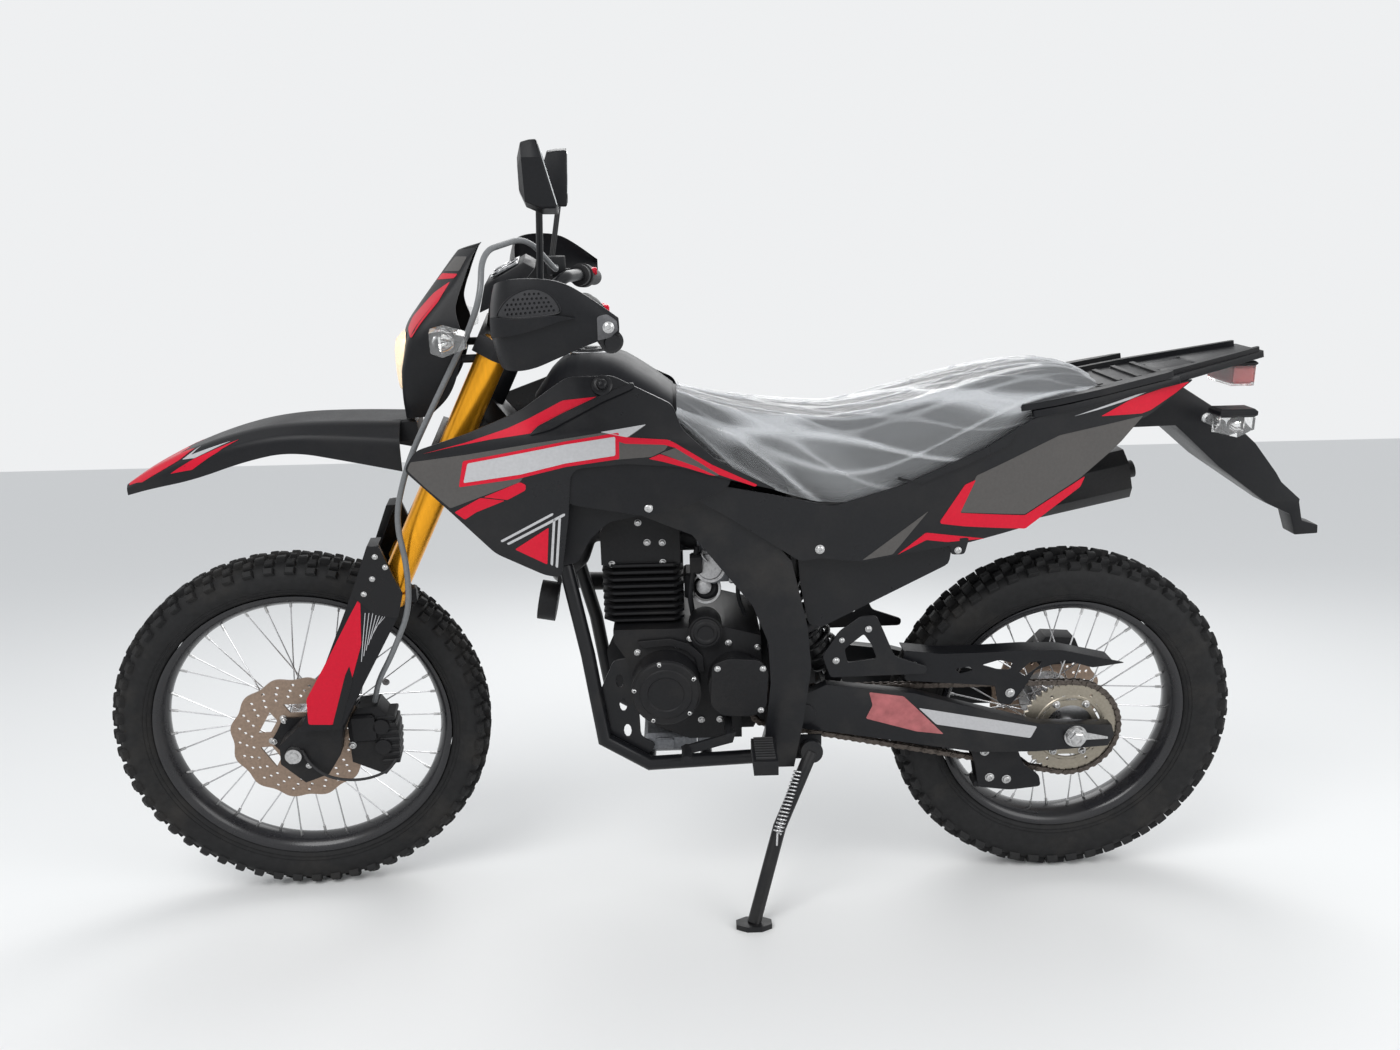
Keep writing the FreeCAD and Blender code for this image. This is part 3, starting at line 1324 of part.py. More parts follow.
def chain_loop(inset, side):
    """Points of the chain's loop round both sprockets, moved out by inset."""
    centres = (Vector(size.front_sprocket_x, 0, size.front_sprocket_z),
               Vector(size.wheelbase, 0, size.rear_axle_z))
    radii = (size.front_sprocket_radius + inset, size.sprocket_radius + inset)
    line = centres[1] - centres[0]
    tilt = math.atan2(line.z, line.x)
    spread = math.acos((radii[0] - radii[1]) / line.Length)
    points = []
    front_arc = (tilt + spread, tilt + 2 * math.pi - spread)
    rear_arc = (tilt - spread, tilt + spread)
    rows = ((front_arc, centres[0], radii[0], 8), (rear_arc, centres[1], radii[1], 16))
    for (start, stop), centre, radius, steps in rows:
        reach = radius / math.cos((stop - start) / steps / 2)
        for k in range(steps + 1):
            angle = start + (stop - start) * k / steps
            points.append(centre + Vector(math.cos(angle) * reach, side, math.sin(angle) * reach))
    return points


def chain():
    low = -size.sprocket_side - size.chain_wide / 2
    band = holed_face(chain_loop(size.chain_deep, low), chain_loop(size.seat_gap, low))
    return feature("chain", band.extrude(Y_AXIS * size.chain_wide))


node(chain(), "chain", "chassis")
guard_side = from_pivot((160, 85), (186, 107), (390, 103)) + from_rear_axle((40, 149), (96, 129), (-40, 127))
guard_side += from_pivot((260, 56), (260, 16.7), (236, 23.8), (232, 56), (160, 67))
chain_guard = plate("chain_guard_plate", "XZ_Plane", guard_side, 5, "arm_outer - 8")
guard_top_side = from_pivot((186, 101), (186, 107), (390, 103))
guard_top_side += from_rear_axle((40, 149), (40, 144)) + from_pivot((390, 97))
guard_top = plate("chain_guard_top", "XZ_Plane", guard_top_side, 44, "arm_outer - 28")
guide_side = from_rear_axle((-178, -28.4), (-144, -29), (-74, -93), (-74, -125), (-110, -129), (-152, -99),
                            (-178, -63))
guide = plate("chain_guide", "XZ_Plane", guide_side, 6, "arm_inner + 4")
node(joined("chain_guards", [chain_guard, guard_top, guide]), "chain_guards", "chassis")


def rear_caliper():
    side = from_rear_axle((-40, 99), (-10, 131), (46, 127), (60, 95), (46, 73), (-20, 71))
    block_side = plate("rear_caliper_block", "XZ_Plane", side, 44, "-rear_disc_side")
    slot = turned("rear_caliper_slot", (("rear_disc_side - disc_thick", 20), ("rear_disc_side + disc_thick", 20),
                                        ("rear_disc_side + disc_thick", "rear_disc_radius + 5"),
                                        ("rear_disc_side - disc_thick", "rear_disc_radius + 5")))
    slot.Placement.Base = Vector(size.wheelbase, 0, size.rear_axle_z)
    carrier = from_rear_axle((-30, 95), (30, 95), (22, 17), (-22, 17))
    bracket = plate("rear_caliper_bracket", "XZ_Plane", carrier,
                    "arm_inner - seat_gap - 81", "-(arm_inner - seat_gap + 81) / 2")
    return joined("rear_caliper", [less("rear_caliper_cut", block_side, slot), bracket])


node(rear_caliper(), "rear_caliper", "chassis")

# Foot controls, horn


def foot_controls():
    """Rider's pegs, gear lever on the left and brake pedal on the right."""
    parts = []
    for hand, word in ((-1, "left"), (1, "right")):
        low, high = sorted((hand * 172, hand * 258))
        parts.append(block(word + "_peg", (838, low, 342), (880, high, 368)))
        arm_low, arm_high = sorted((hand * (size.spar_outer + size.seat_gap), hand * 176))
        parts.append(block(word + "_peg_bracket", (846, arm_low, 334), (884, arm_high, 352)))
    parts.append(rod("gear_shaft", Vector(800, -174, 372), Vector(800, -100.3, 372), 8))
    parts.append(plate("gear_arm", "XZ_Plane", ((812, 382), (806, 362), (722, 340), (714, 354)), 7, 170))
    parts.append(rod("gear_toe", Vector(724, -212, 349), Vector(724, -166, 349), 9))
    parts.append(rod("pedal_shaft", Vector(897, 146.3, 332), Vector(897, 172, 332), 7))
    pedal_side = ((912, 352), (908, 328), (882, 306), (742, 300), (736, 314), (876, 324))
    parts.append(plate("pedal_arm", "XZ_Plane", pedal_side, 7, -168))
    parts.append(block("pedal_pad", (712, 158, 304), (746, 200, 326)))
    return joined("foot_controls", parts)


node(foot_controls(), "foot_controls", "chassis")
horn_disc = rod("horn_disc", Vector(462, -30, 590), Vector(494, -30, 584), 36)
horn_bracket = plate("horn_bracket", "XZ_Plane", ((490, 600), (498, 600), (512, 660.4), (504, 660.4)), 12, 30)
node(joined("horn", [horn_disc, horn_bracket]), "horn", "chassis")

# Pose of the parked machine

lean = Placement(Vector(0, 0, 0), Rotation(X_AXIS, size.lean))
steer = Placement(Vector(0, 0, 0), Rotation(axis_direction(), size.rest_steer), axis_point(0))
front_wheel_place = Placement(Vector(0, 0, size.front_axle_z), Rotation())
rear_wheel_place = Placement(Vector(size.wheelbase, 0, size.rear_axle_z), Rotation())


def ground_reach(end, axle_tilt):
    """How far a leaning tyre's lowest lug lies below its centre."""
    radius = float(sheet.get(end + "_tyre_radius"))
    crown = float(sheet.get(end + "_tread_half"))
    return radius * math.cos(axle_tilt) + crown * math.sin(axle_tilt)


def lift_needed(end, place):
    """How far a wheel has to rise, once leaned, for its tyre to stand on the ground."""
    axle = place.Rotation.multVec(Y_AXIS)
    return ground_reach(end, abs(math.asin(axle.z))) - place.Base.z


front_lift = lift_needed("front", lean.multiply(steer).multiply(front_wheel_place))
rear_lift = lift_needed("rear", lean.multiply(rear_wheel_place))
pitch = math.degrees(math.atan2(front_lift - rear_lift, size.wheelbase))
stand_on_ground = Placement(Vector(0, 0, front_lift), Rotation(Y_AXIS, pitch)).multiply(lean)

# Side stand: its foot plate meets the ground at the machine's lean

foot_ground = stand_on_ground.multVec(Vector(size.stand_foot_x, size.stand_foot_y, 0))
foot_height = -foot_ground.z / math.cos(math.radians(size.lean))
foot = Vector(size.stand_foot_x, size.stand_foot_y, foot_height)


def side_stand():
    """A bent leg on a lug, with a foot plate that lies flat on the ground."""
    up = stand_on_ground.inverse().Rotation.multVec(Z_AXIS)
    sole = foot + up * (size.stand_foot_thick - 2)
    knee = stand_pivot + (foot - stand_pivot) * 0.42 + Vector(-14, 4, -10)
    leg = tube_shape([stand_pivot + stand_axis() * 9, knee, sole], size.stand_radius, 0)
    lug = Part.makeCylinder(20, 20, stand_pivot - stand_axis() * 4, stand_axis())
    corners = []
    for k in range(8):
        angle = 2 * math.pi * (k + 0.5) / 8
        across = up.cross(X_AXIS).normalize()
        along = across.cross(up)
        corners.append(foot + along * (34 * math.cos(angle)) + across * (24 * math.sin(angle)))
    pad_shape = Part.Face(Part.makePolygon(corners + corners[:1])).extrude(up * size.stand_foot_thick)
    return feature("side_stand", leg.multiFuse([lug, pad_shape]))


node(side_stand(), "side_stand", "side_stand")


# Places of the groups of pieces that move together

PLACES = {
    "chassis": stand_on_ground,
    "side_stand": stand_on_ground,
    "steering": stand_on_ground.multiply(steer),
    "front_wheel": stand_on_ground.multiply(steer).multiply(front_wheel_place),
    "rear_wheel": stand_on_ground.multiply(rear_wheel_place),
    "rack": stand_on_ground.multiply(Placement(rack_start, Rotation(Y_AXIS, -rack_tilt))),
}


def settle(shift):
    """Place every node, moved by the shift that brings the origin to the footprint's middle."""
    for item, name, group in NODES:
        item.Placement = Placement(shift, Rotation()).multiply(PLACES[group])
        item.purgeTouched()


def whole_box():
    box = FreeCAD.BoundBox()
    for item, name, group in NODES:
        box.add(item.Shape.optimalBoundingBox(False, False))
    return box


doc.recompute()
settle(Vector(0, 0, 0))
box = whole_box()
shift = Vector(-box.Center.x, -box.Center.y, 0)
settle(shift)

print("lift front and rear", front_lift, rear_lift, "lowest", box.ZMin)
print("size", box.XLength, box.YLength, box.ZLength)
place = Placement(shift, Rotation())
for name, base, direction in (
    ("steering", stand_on_ground.multVec(axis_point(0)), stand_on_ground.Rotation.multVec(axis_direction())),
    ("front_wheel", PLACES["front_wheel"].Base, PLACES["front_wheel"].Rotation.multVec(Y_AXIS)),
    ("rear_wheel", PLACES["rear_wheel"].Base, PLACES["rear_wheel"].Rotation.multVec(Y_AXIS)),
    ("side_stand", stand_on_ground.multVec(stand_pivot), stand_on_ground.Rotation.multVec(stand_axis())),
):
    print("joint", name, [round(v / 1000, 6) for v in place.multVec(base)], [round(v, 6) for v in direction])

failed = [item.Label for item in doc.Objects if {"Invalid", "Error"} & set(item.State)]
failed += [name for item, name, group in NODES if item.Shape.isNull() or not item.Shape.isValid()]
if failed:
    raise RuntimeError("these did not build: " + ", ".join(failed))
os.makedirs("parts", exist_ok=True)
for item, name, group in NODES:
    item.Shape.exportStep(os.path.join("parts", name + ".step"))
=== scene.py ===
import json
import math

import bmesh
import bpy
import numpy as np
from bpy.props import FloatProperty, FloatVectorProperty, IntProperty, PointerProperty
from mathutils import Matrix
from mathutils.geometry import delaunay_2d_cdt


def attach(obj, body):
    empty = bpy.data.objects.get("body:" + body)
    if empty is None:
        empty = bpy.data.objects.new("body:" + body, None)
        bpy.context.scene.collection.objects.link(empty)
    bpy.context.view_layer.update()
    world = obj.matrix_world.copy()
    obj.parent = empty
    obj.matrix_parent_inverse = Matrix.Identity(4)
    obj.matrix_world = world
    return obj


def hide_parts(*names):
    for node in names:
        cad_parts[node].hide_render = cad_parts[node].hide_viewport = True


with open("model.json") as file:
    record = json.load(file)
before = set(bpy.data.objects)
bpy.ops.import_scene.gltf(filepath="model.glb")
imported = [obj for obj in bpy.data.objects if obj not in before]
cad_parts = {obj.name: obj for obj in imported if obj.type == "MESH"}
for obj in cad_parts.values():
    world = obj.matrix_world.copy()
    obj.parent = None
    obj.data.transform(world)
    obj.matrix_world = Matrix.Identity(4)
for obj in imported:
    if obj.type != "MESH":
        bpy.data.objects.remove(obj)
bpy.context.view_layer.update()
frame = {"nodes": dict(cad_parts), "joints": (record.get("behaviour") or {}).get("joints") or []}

bl_info = {
    "name": "Dual sport motorcycle",
    "version": (1, 0, 0),
    "blender": (4, 5, 0),
    "location": "3D View > Sidebar > Motorcycle",
    "description": "Dresses a parked dual sport motorcycle with tread, spokes, panels, stripes and finishes",
    "category": "Object",
}

MM = 0.001
LEFT = (0, -1, 0)
TURN = 2 * math.pi
RAKE = math.radians(27)
WHEELBASE = 1440.0
FRONT_AXLE_HEIGHT = 345.0
REAR_AXLE_HEIGHT = 325.0

# Places: the machine is drawn upright in millimetres, X rearwards from the front axle, Y to its
# right and Z up from the ground; the joints of the frame say where each group really stands.


def upright_axes(joint, axle_x, axle_z):
    """Rearward, right and up axes and origin of a group, from its wheel's axle and the steering axis."""
    rows = {row["name"]: row for row in frame["joints"]}
    side = np.array(rows[joint]["axis"], float)
    head = np.array(rows["steering_head"]["axis"], float)
    side /= np.linalg.norm(side)
    head /= np.linalg.norm(head)
    ahead = np.cross(side, head)
    rear = math.cos(RAKE) * ahead + math.sin(RAKE) * head
    up = math.cos(RAKE) * head - math.sin(RAKE) * ahead
    origin = np.array(rows[joint]["pos_m"], float) - (rear * axle_x + up * axle_z) * MM
    return np.array([rear, side, up]), origin


PLACES = {
    "chassis": upright_axes("rear_wheel_spin", WHEELBASE, REAR_AXLE_HEIGHT),
    "side_stand": upright_axes("rear_wheel_spin", WHEELBASE, REAR_AXLE_HEIGHT),
    "steering": upright_axes("front_wheel_spin", 0.0, FRONT_AXLE_HEIGHT),
    "front_wheel": upright_axes("front_wheel_spin", 0.0, 0.0),
    "rear_wheel": upright_axes("rear_wheel_spin", 0.0, 0.0),
}


def to_row(points, group):
    axes, origin = PLACES[group]
    return np.asarray(points, float) @ axes * MM + origin


# Shapes: each is a pair of points (n x 3, millimetres) and faces (n x 4, a triangle repeats its last corner)


def grid_faces(rows, columns, wrap_rows=False, wrap_columns=False):
    """Quads between neighbouring points of a grid that is stored row by row."""
    r = np.arange(rows if wrap_rows else rows - 1)
    c = np.arange(columns if wrap_columns else columns - 1)
    r, c = np.meshgrid(r, c, indexing="ij")
    r2, c2 = (r + 1) % rows, (c + 1) % columns
    quads = np.stack([r * columns + c, r * columns + c2, r2 * columns + c2, r2 * columns + c], -1)
    return quads.reshape(-1, 4)


def merged(shapes):
    """Several shapes as one: points stacked, face numbers moved on by the points before them."""
    points, faces, start = [], [], 0
    for p, f in shapes:
        points.append(np.asarray(p, float))
        faces.append(np.asarray(f, int) + start)
        start += len(p)
    return np.concatenate(points), np.concatenate(faces)


def fan(count, start=0):
    """Triangles that close a ring of points round its first point."""
    k = np.arange(1, count - 1)
    return np.stack([np.full_like(k, start), start + k, start + k + 1, start + k + 1], -1)


def polar(radius, angle):
    """Points (r cos a, r sin a)."""
    return np.stack([radius * np.cos(angle), radius * np.sin(angle)], -1)


def turned(profile, count, wrap=True):
    """A profile of (along Y, radius) pairs carried round the Y axis: x = r cos a, z = r sin a."""
    profile = np.asarray(profile, float)
    angle = np.linspace(0, TURN, count, endpoint=False)[:, None]
    y = np.broadcast_to(profile[:, 0], (count, len(profile)))
    points = np.stack([profile[:, 1] * np.cos(angle), y, profile[:, 1] * np.sin(angle)], -1)
    return points.reshape(-1, 3), grid_faces(count, len(profile), True, wrap)


def softened(points, rounds=2, closed=False):
    """Corner cutting: each edge is replaced by its points at one and three quarters, round by round."""
    points = np.asarray(points, float)
    for _ in range(rounds):
        ahead = np.roll(points, -1, 0) if closed else points[1:]
        here = points if closed else points[:-1]
        both = np.stack([here * 0.75 + ahead * 0.25, here * 0.25 + ahead * 0.75], 1)
        both = both.reshape(-1, points.shape[1])
        points = both if closed else np.concatenate([points[:1], both, points[-1:]])
    return points


def rounded(points, reach, steps=4):
    """A closed outline with each corner replaced by a curve: (1-t)^2 A + 2t(1-t) corner + t^2 B."""
    points = np.asarray(points, float)
    back = np.roll(points, 1, 0) - points
    ahead = np.roll(points, -1, 0) - points
    lengths = [np.linalg.norm(v, axis=1, keepdims=True) for v in (back, ahead)]
    a = points + back * np.minimum(reach / lengths[0], 0.45)
    b = points + ahead * np.minimum(reach / lengths[1], 0.45)
    t = np.linspace(0, 1, steps)[None, :, None]
    curve = (1 - t) ** 2 * a[:, None] + 2 * t * (1 - t) * points[:, None] + t ** 2 * b[:, None]
    return curve.reshape(-1, 2)


def tube(path, radius, sides=12, closed=False):
    """A ring carried along a path, turned as little as possible from point to point, with closed ends."""
    path = np.asarray(path, float)
    radius = np.broadcast_to(np.asarray(radius, float), len(path))
    ahead = np.roll(path, -1, 0) - path
    back = path - np.roll(path, 1, 0)
    if not closed:
        ahead[-1], back[0] = back[-1], ahead[0]
    line = ahead / np.linalg.norm(ahead, axis=1)[:, None] + back / np.linalg.norm(back, axis=1)[:, None]
    line /= np.linalg.norm(line, axis=1)[:, None]
    across = np.cross(line[0], [0.31, 0.88, 0.36])
    rings = []
    angle = np.linspace(0, TURN, sides, endpoint=False)[:, None]
    for k in range(len(path)):
        across = across - line[k] * (across @ line[k])
        across /= np.linalg.norm(across)
        other = np.cross(line[k], across)
        rings.append(path[k] + radius[k] * (np.cos(angle) * across + np.sin(angle) * other))
    faces = grid_faces(len(path), sides, closed, True)
    if not closed:
        faces = np.concatenate([faces, fan(sides)[:, [0, 2, 1, 1]], fan(sides, (len(path) - 1) * sides)])
    return np.concatenate(rings), faces


def pipe(points, radius, rounds=3, sides=10):
    """A round bar or hose along a few points, with the corners of its line cut."""
    return tube(softened(points, rounds), radius, sides)


def inside(points, loop):
    """Which points lie in a closed loop, by how often a ray to the right crosses its edges."""
    x, y = points[:, 0, None], points[:, 1, None]
    ax, ay = loop[:, 0], loop[:, 1]
    bx, by = np.roll(ax, -1), np.roll(ay, -1)
    crosses = (ay > y) != (by > y)
    at = ax + (y - ay) * (bx - ax) / np.where(by == ay, 1e-9, by - ay)
    return (np.sum(crosses & (x < at), axis=1) % 2) == 1


def divided(loop, step):
    """A closed loop with points added so that no edge is longer than step."""
    loop = np.asarray(loop, float)
    ahead = np.roll(loop, -1, 0)
    counts = np.maximum(np.ceil(np.linalg.norm(ahead - loop, axis=1) / step).astype(int), 1)
    pieces = [a + (b - a) * np.linspace(0, 1, n, endpoint=False)[:, None]
              for a, b, n in zip(loop, ahead, counts)]
    return np.concatenate(pieces)


def flat_cut(outline, holes=(), step=12.0):
    """A flat sheet cut to an outline with holes: points on a lattice inside, joined into triangles."""
    loops = [divided(outline, step)] + [divided(hole, step) for hole in holes]
    low, high = loops[0].min(0), loops[0].max(0)
    xs, ys = (np.arange(low[k] + step / 2, high[k], step) for k in (0, 1))
    inner = np.stack(np.meshgrid(xs, ys), -1).reshape(-1, 2)
    keep = inside(inner, loops[0])
    for hole in loops[1:]:
        keep &= ~inside(inner, hole)
    inner = inner[keep]
    edge_points = np.concatenate(loops)
    near = np.min(np.linalg.norm(inner[:, None] - edge_points[None], axis=2), axis=1) if len(inner) else []
    inner = inner[np.asarray(near) > step * 0.35] if len(inner) else inner
    edges, start = [], 0
    for loop in loops:
        k = np.arange(len(loop))
        edges.append(np.stack([start + k, start + (k + 1) % len(loop)], -1))
        start += len(loop)
    every = np.concatenate([edge_points, inner])
    made = delaunay_2d_cdt(every.tolist(), np.concatenate(edges).tolist(), [], 1, 1e-5)
    points = np.array([tuple(v) for v in made[0]], float)
    faces = np.array(made[2], int)
    middle = points[faces].mean(1)
    keep = inside(middle, loops[0])
    for hole in loops[1:]:
        keep &= ~inside(middle, hole)
    return points, faces[keep]


def skin(outline, place, thick, holes=(), step=12.0):
    """A closed sheet cut to an outline: place(u, v, lift) gives its outer face, thick its depth."""
    flat, faces = flat_cut(outline, holes, step)
    front = place(flat[:, 0], flat[:, 1], 0.0)
    back = place(flat[:, 0], flat[:, 1], -thick)
    pairs = np.sort(np.concatenate([faces[:, [0, 1]], faces[:, [1, 2]], faces[:, [2, 0]]]), axis=1)
    single, counts = np.unique(pairs, axis=0, return_counts=True)
    rim = single[counts == 1]
    n = len(flat)
    walls = np.stack([rim[:, 0], rim[:, 1], rim[:, 1] + n, rim[:, 0] + n], -1)
    tri = np.concatenate([faces, faces[:, 2:]], axis=1)
    return np.concatenate([front, back]), np.concatenate([tri, tri[:, [0, 2, 1, 1]] + n, walls])


def side_place(surface, hand, lift=0.0):
    """Puts side view points (x, z) on y = hand (surface(x, z) + lift)."""
    def place(u, v, deep):
        return np.stack([u, hand * (surface(u, v) + lift + deep), v], -1)
    return place


def flat_place(distance, hand, lift=0.0):
    """Puts side view points on a plane at a distance from the middle plane."""
    return side_place(lambda x, z: np.full_like(np.asarray(x, float), distance), hand, lift)


def lifted(place, lift):
    """The same surface a little further out."""
    return lambda u, v, deep: place(u, v, deep + lift)


def two_skins(front, back):
    """A closed shell from an outer and an inner grid of points (rows x columns x 3)."""
    rows, columns = front.shape[:2]
    n = rows * columns
    faces = grid_faces(rows, columns)
    k = np.arange(n).reshape(rows, columns)
    loop = np.concatenate([k[0, :-1], k[:-1, -1], k[-1, :0:-1], k[:0:-1, 0]])
    after = np.roll(loop, -1)
    walls = np.stack([loop, after, after + n, loop + n], -1)
    points = np.concatenate([front.reshape(-1, 3), back.reshape(-1, 3)])
    return points, np.concatenate([faces, faces[:, ::-1] + n, walls])


def sheet_over(place, us, vs, thick):
    """A closed shell over a grid of two parameters."""
    u, v = np.meshgrid(us, vs, indexing="ij")
    front = place(u.ravel(), v.ravel(), 0.0).reshape(u.shape + (3,))
    back = place(u.ravel(), v.ravel(), -thick).reshape(u.shape + (3,))
    return two_skins(front, back)


def read_rows(rows, x, rounds=3):
    """The columns of a table at places x, with the table's corners cut."""
    smooth = softened(rows, rounds)
    return [np.interp(x, smooth[:, 0], smooth[:, k]) for k in range(1, smooth.shape[1])]


def lofted(rows, corners, count=40, rounds=2):
    """A closed solid along X: corners(columns) gives its section's corners, which are then cut round."""
    x = np.linspace(rows[0][0], rows[-1][0], count)
    ring = corners(*read_rows(rows, x, 2))
    control = np.array([np.stack([x, np.broadcast_to(y, count), np.broadcast_to(z, count)]) for y, z in ring])
    control = softened(control.reshape(len(ring), -1), rounds, True)
    points = control.reshape(len(control), 3, count).transpose(2, 0, 1)
    m = points.shape[1]
    faces = np.concatenate([grid_faces(count, m, False, True), fan(m), fan(m, (count - 1) * m)])
    return points.reshape(-1, 3), faces


def rod(start, end, radius, sides=16):
    return tube(np.array([start, end], float), radius, sides)


def block(low, high, bevel=0.0):
    """A box from corner to corner whose upper and lower rims step in by the bevel."""
    low, high = np.asarray(low, float), np.asarray(high, float)
    rings = []
    for z, inset in ((low[2], bevel), (low[2] + bevel, 0), (high[2] - bevel, 0), (high[2], bevel)):
        x0, y0, x1, y1 = low[0] + inset, low[1] + inset, high[0] - inset, high[1] - inset
        rings.append([(x0, y0, z), (x1, y0, z), (x1, y1, z), (x0, y1, z)])
    faces = np.concatenate([grid_faces(4, 4, False, True), [[0, 3, 2, 1]], [[12, 13, 14, 15]]])
    return np.concatenate(rings), faces


def placed(shape, centre, axis, spin=0.0):
    """A shape drawn about the Z axis, turned so that Z lies along axis and moved to centre."""
    points, faces = shape
    axis = np.asarray(axis, float) / np.linalg.norm(axis)
    across = np.cross([0.1, 0.3, 1.0] if abs(axis[2]) < 0.9 else [1.0, 0.2, 0.0], axis)
    across /= np.linalg.norm(across)
    other = np.cross(axis, across)
    c, s = math.cos(spin), math.sin(spin)
    rows = np.array([across * c + other * s, other * c - across * s, axis])
    return points @ rows + np.asarray(centre, float), faces


def around(profile, count=12):
    """A profile of (along Z, radius) pairs carried round the Z axis, from its underside to its tip."""
    points, faces = turned(profile, count, False)
    points = points[:, [0, 2, 1]]
    return points, faces[:, ::-1]


def boss(profile, centre, axis, count):
    """A turned profile set at its centre, pointing along its axis."""
    return placed(around(profile, count), centre, axis)


def screw(radius, height, centre, axis, sides=12):
    """A domed screw head with a flange and a six-sided socket."""
    r = radius
    profile = [(0, 0.01), (0, 1.25 * r), (0.18 * height, 1.25 * r), (0.3 * height, r),
               (0.8 * height, 0.92 * r), (height, 0.7 * r), (height, 0.45 * r), (0.45 * height, 0.42 * r),
               (0.45 * height, 0.01)]
    return boss(profile, centre, axis, sides)


def screw_ring(radius, height, circle, y, count=6, x=0, z=0, start=0.0):
    """Screw heads on a circle round the Y axis, facing away from the middle plane."""
    angles = np.arange(count) * TURN / count + start
    return [screw(radius, height, (x + circle * math.cos(a), y, z + circle * math.sin(a)),
                  (0, math.copysign(1, y), 0)) for a in angles]


def piece(name, shape, group, finish_name, smooth=30.0, rim=0.0, node=None):
    """A mesh object from a shape or a list of shapes, in the row frame, that rides on its body.

    rim rounds its edges by so many millimetres, and node names the part that it stands for."""
    points, faces = merged(shape) if isinstance(shape, list) else shape
    mesh = bpy.data.meshes.new(name)
    rows = [f[:3] if f[2] == f[3] else f for f in np.asarray(faces, int).tolist()]
    mesh.from_pydata(to_row(points, group).tolist(), [], rows)
    work = bmesh.new()
    work.from_mesh(mesh)
    bmesh.ops.recalc_face_normals(work, faces=work.faces)
    work.to_mesh(mesh)
    work.free()
    mesh.update()
    mesh.polygons.foreach_set("use_smooth", np.ones(len(mesh.polygons), bool))
    mesh.set_sharp_from_angle(angle=math.radians(smooth))
    obj = bpy.data.objects.new(name, mesh)
    bpy.context.scene.collection.objects.link(obj)
    obj.data.materials.append(FINISHES[finish_name])
    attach(obj, group)
    if rim:
        soft_rim(obj, rim)
    if node:
        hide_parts(node)
    return obj


def films(prefix, stripes, place, group, soft, step, suffix=""):
    """A piece for each colour of film: its stripes are thin skins with rounded corners."""
    for colour in ("red", "grey", "silver"):
        shapes = [skin(rounded(row, soft, 3), place, 0.4, (), step)
                  for kind, row in stripes if kind == colour]
        if shapes:
            piece(prefix + colour + "_film" + suffix, shapes, group, colour + "_film")


# Finishes


FINISHES = {}


def set_node(tree, node, values=(), feeds=()):
    """Sets inputs of a node to values, and feeds others from the outputs of other nodes."""
    for key, value in dict(values).items():
        node.inputs[key].default_value = value
    for key, output in dict(feeds).items():
        tree.links.new(output, node.inputs[key])
    return node


def add_node(tree, kind, values=(), feeds=(), **settings):
    """A new node with its settings, values and feeds."""
    node = tree.nodes.new(kind)
    for name, value in settings.items():
        setattr(node, name, value)
    return set_node(tree, node, values, feeds)


def finish(name, colour, rough, metal=0.0, grain=0.12, grain_scale=220.0, bump=0.15, bump_scale=900.0,
           dust=0.0, coat=0.0, spec=0.5, stretch=(1, 1, 1), clear=0.0, glow=None, ior=1.45, see=1.0):
    """A procedural finish: a base colour broken by fine and broad noise, varied roughness and grain as bump.

    grain is the share by which the colour varies, dust the share of pale dust that gathers in broad patches,
    and stretch squeezes the grain along an axis for brushed metal."""
    material = bpy.data.materials.new(name)
    material.use_nodes = True
    tree = material.node_tree
    place = add_node(tree, "ShaderNodeTexCoord").outputs["Object"]
    drawn = add_node(tree, "ShaderNodeMapping", {"Scale": stretch}, {"Vector": place}).outputs["Vector"]
    fine = add_node(tree, "ShaderNodeTexNoise", {"Scale": grain_scale, "Detail": 4.0}, {"Vector": drawn})
    tooth = add_node(tree, "ShaderNodeTexNoise", {"Scale": bump_scale, "Detail": 2.0}, {"Vector": drawn})
    broad = add_node(tree, "ShaderNodeTexNoise", {"Scale": 9.0, "Detail": 5.0, "Roughness": 0.6},
                     {"Vector": place}).outputs["Fac"]
    shade = add_node(tree, "ShaderNodeValToRGB", feeds={"Fac": fine.outputs["Fac"]})
    for element, position, share in zip(shade.color_ramp.elements, (0.3, 0.7), (1 - grain, 1 + grain)):
        element.position = position
        element.color = (*[min(c * share, 1.0) for c in colour], 1)
    patches = add_node(tree, "ShaderNodeMapRange", {"From Min": 0.5, "From Max": 0.75, "To Max": dust},
                       {"Value": broad})
    dusty = add_node(tree, "ShaderNodeMix", {7: (0.30, 0.26, 0.21, 1)},
                     {0: patches.outputs["Result"], 6: shade.outputs["Color"]}, data_type="RGBA")
    reach = {"From Min": 0.3, "From Max": 0.7, "To Min": max(rough - 0.06, 0.02),
             "To Max": min(rough + 0.08, 1.0)}
    rougher = add_node(tree, "ShaderNodeMapRange", reach, {"Value": broad})
    relief = add_node(tree, "ShaderNodeBump", {"Strength": bump, "Distance": 0.0006},
                      {"Height": tooth.outputs["Fac"]})
    values = {"Metallic": metal, "Coat Weight": coat, "Coat Roughness": 0.12, "Specular IOR Level": spec,
              "IOR": ior, "Transmission Weight": clear, "Alpha": see}
    if glow:
        values.update({"Emission Color": (*glow[0], 1), "Emission Strength": glow[1]})
    feeds = {"Base Color": dusty.outputs[2], "Roughness": rougher.outputs["Result"],
             "Normal": relief.outputs["Normal"]}
    set_node(tree, tree.nodes["Principled BSDF"], values, feeds)
    FINISHES[name] = material


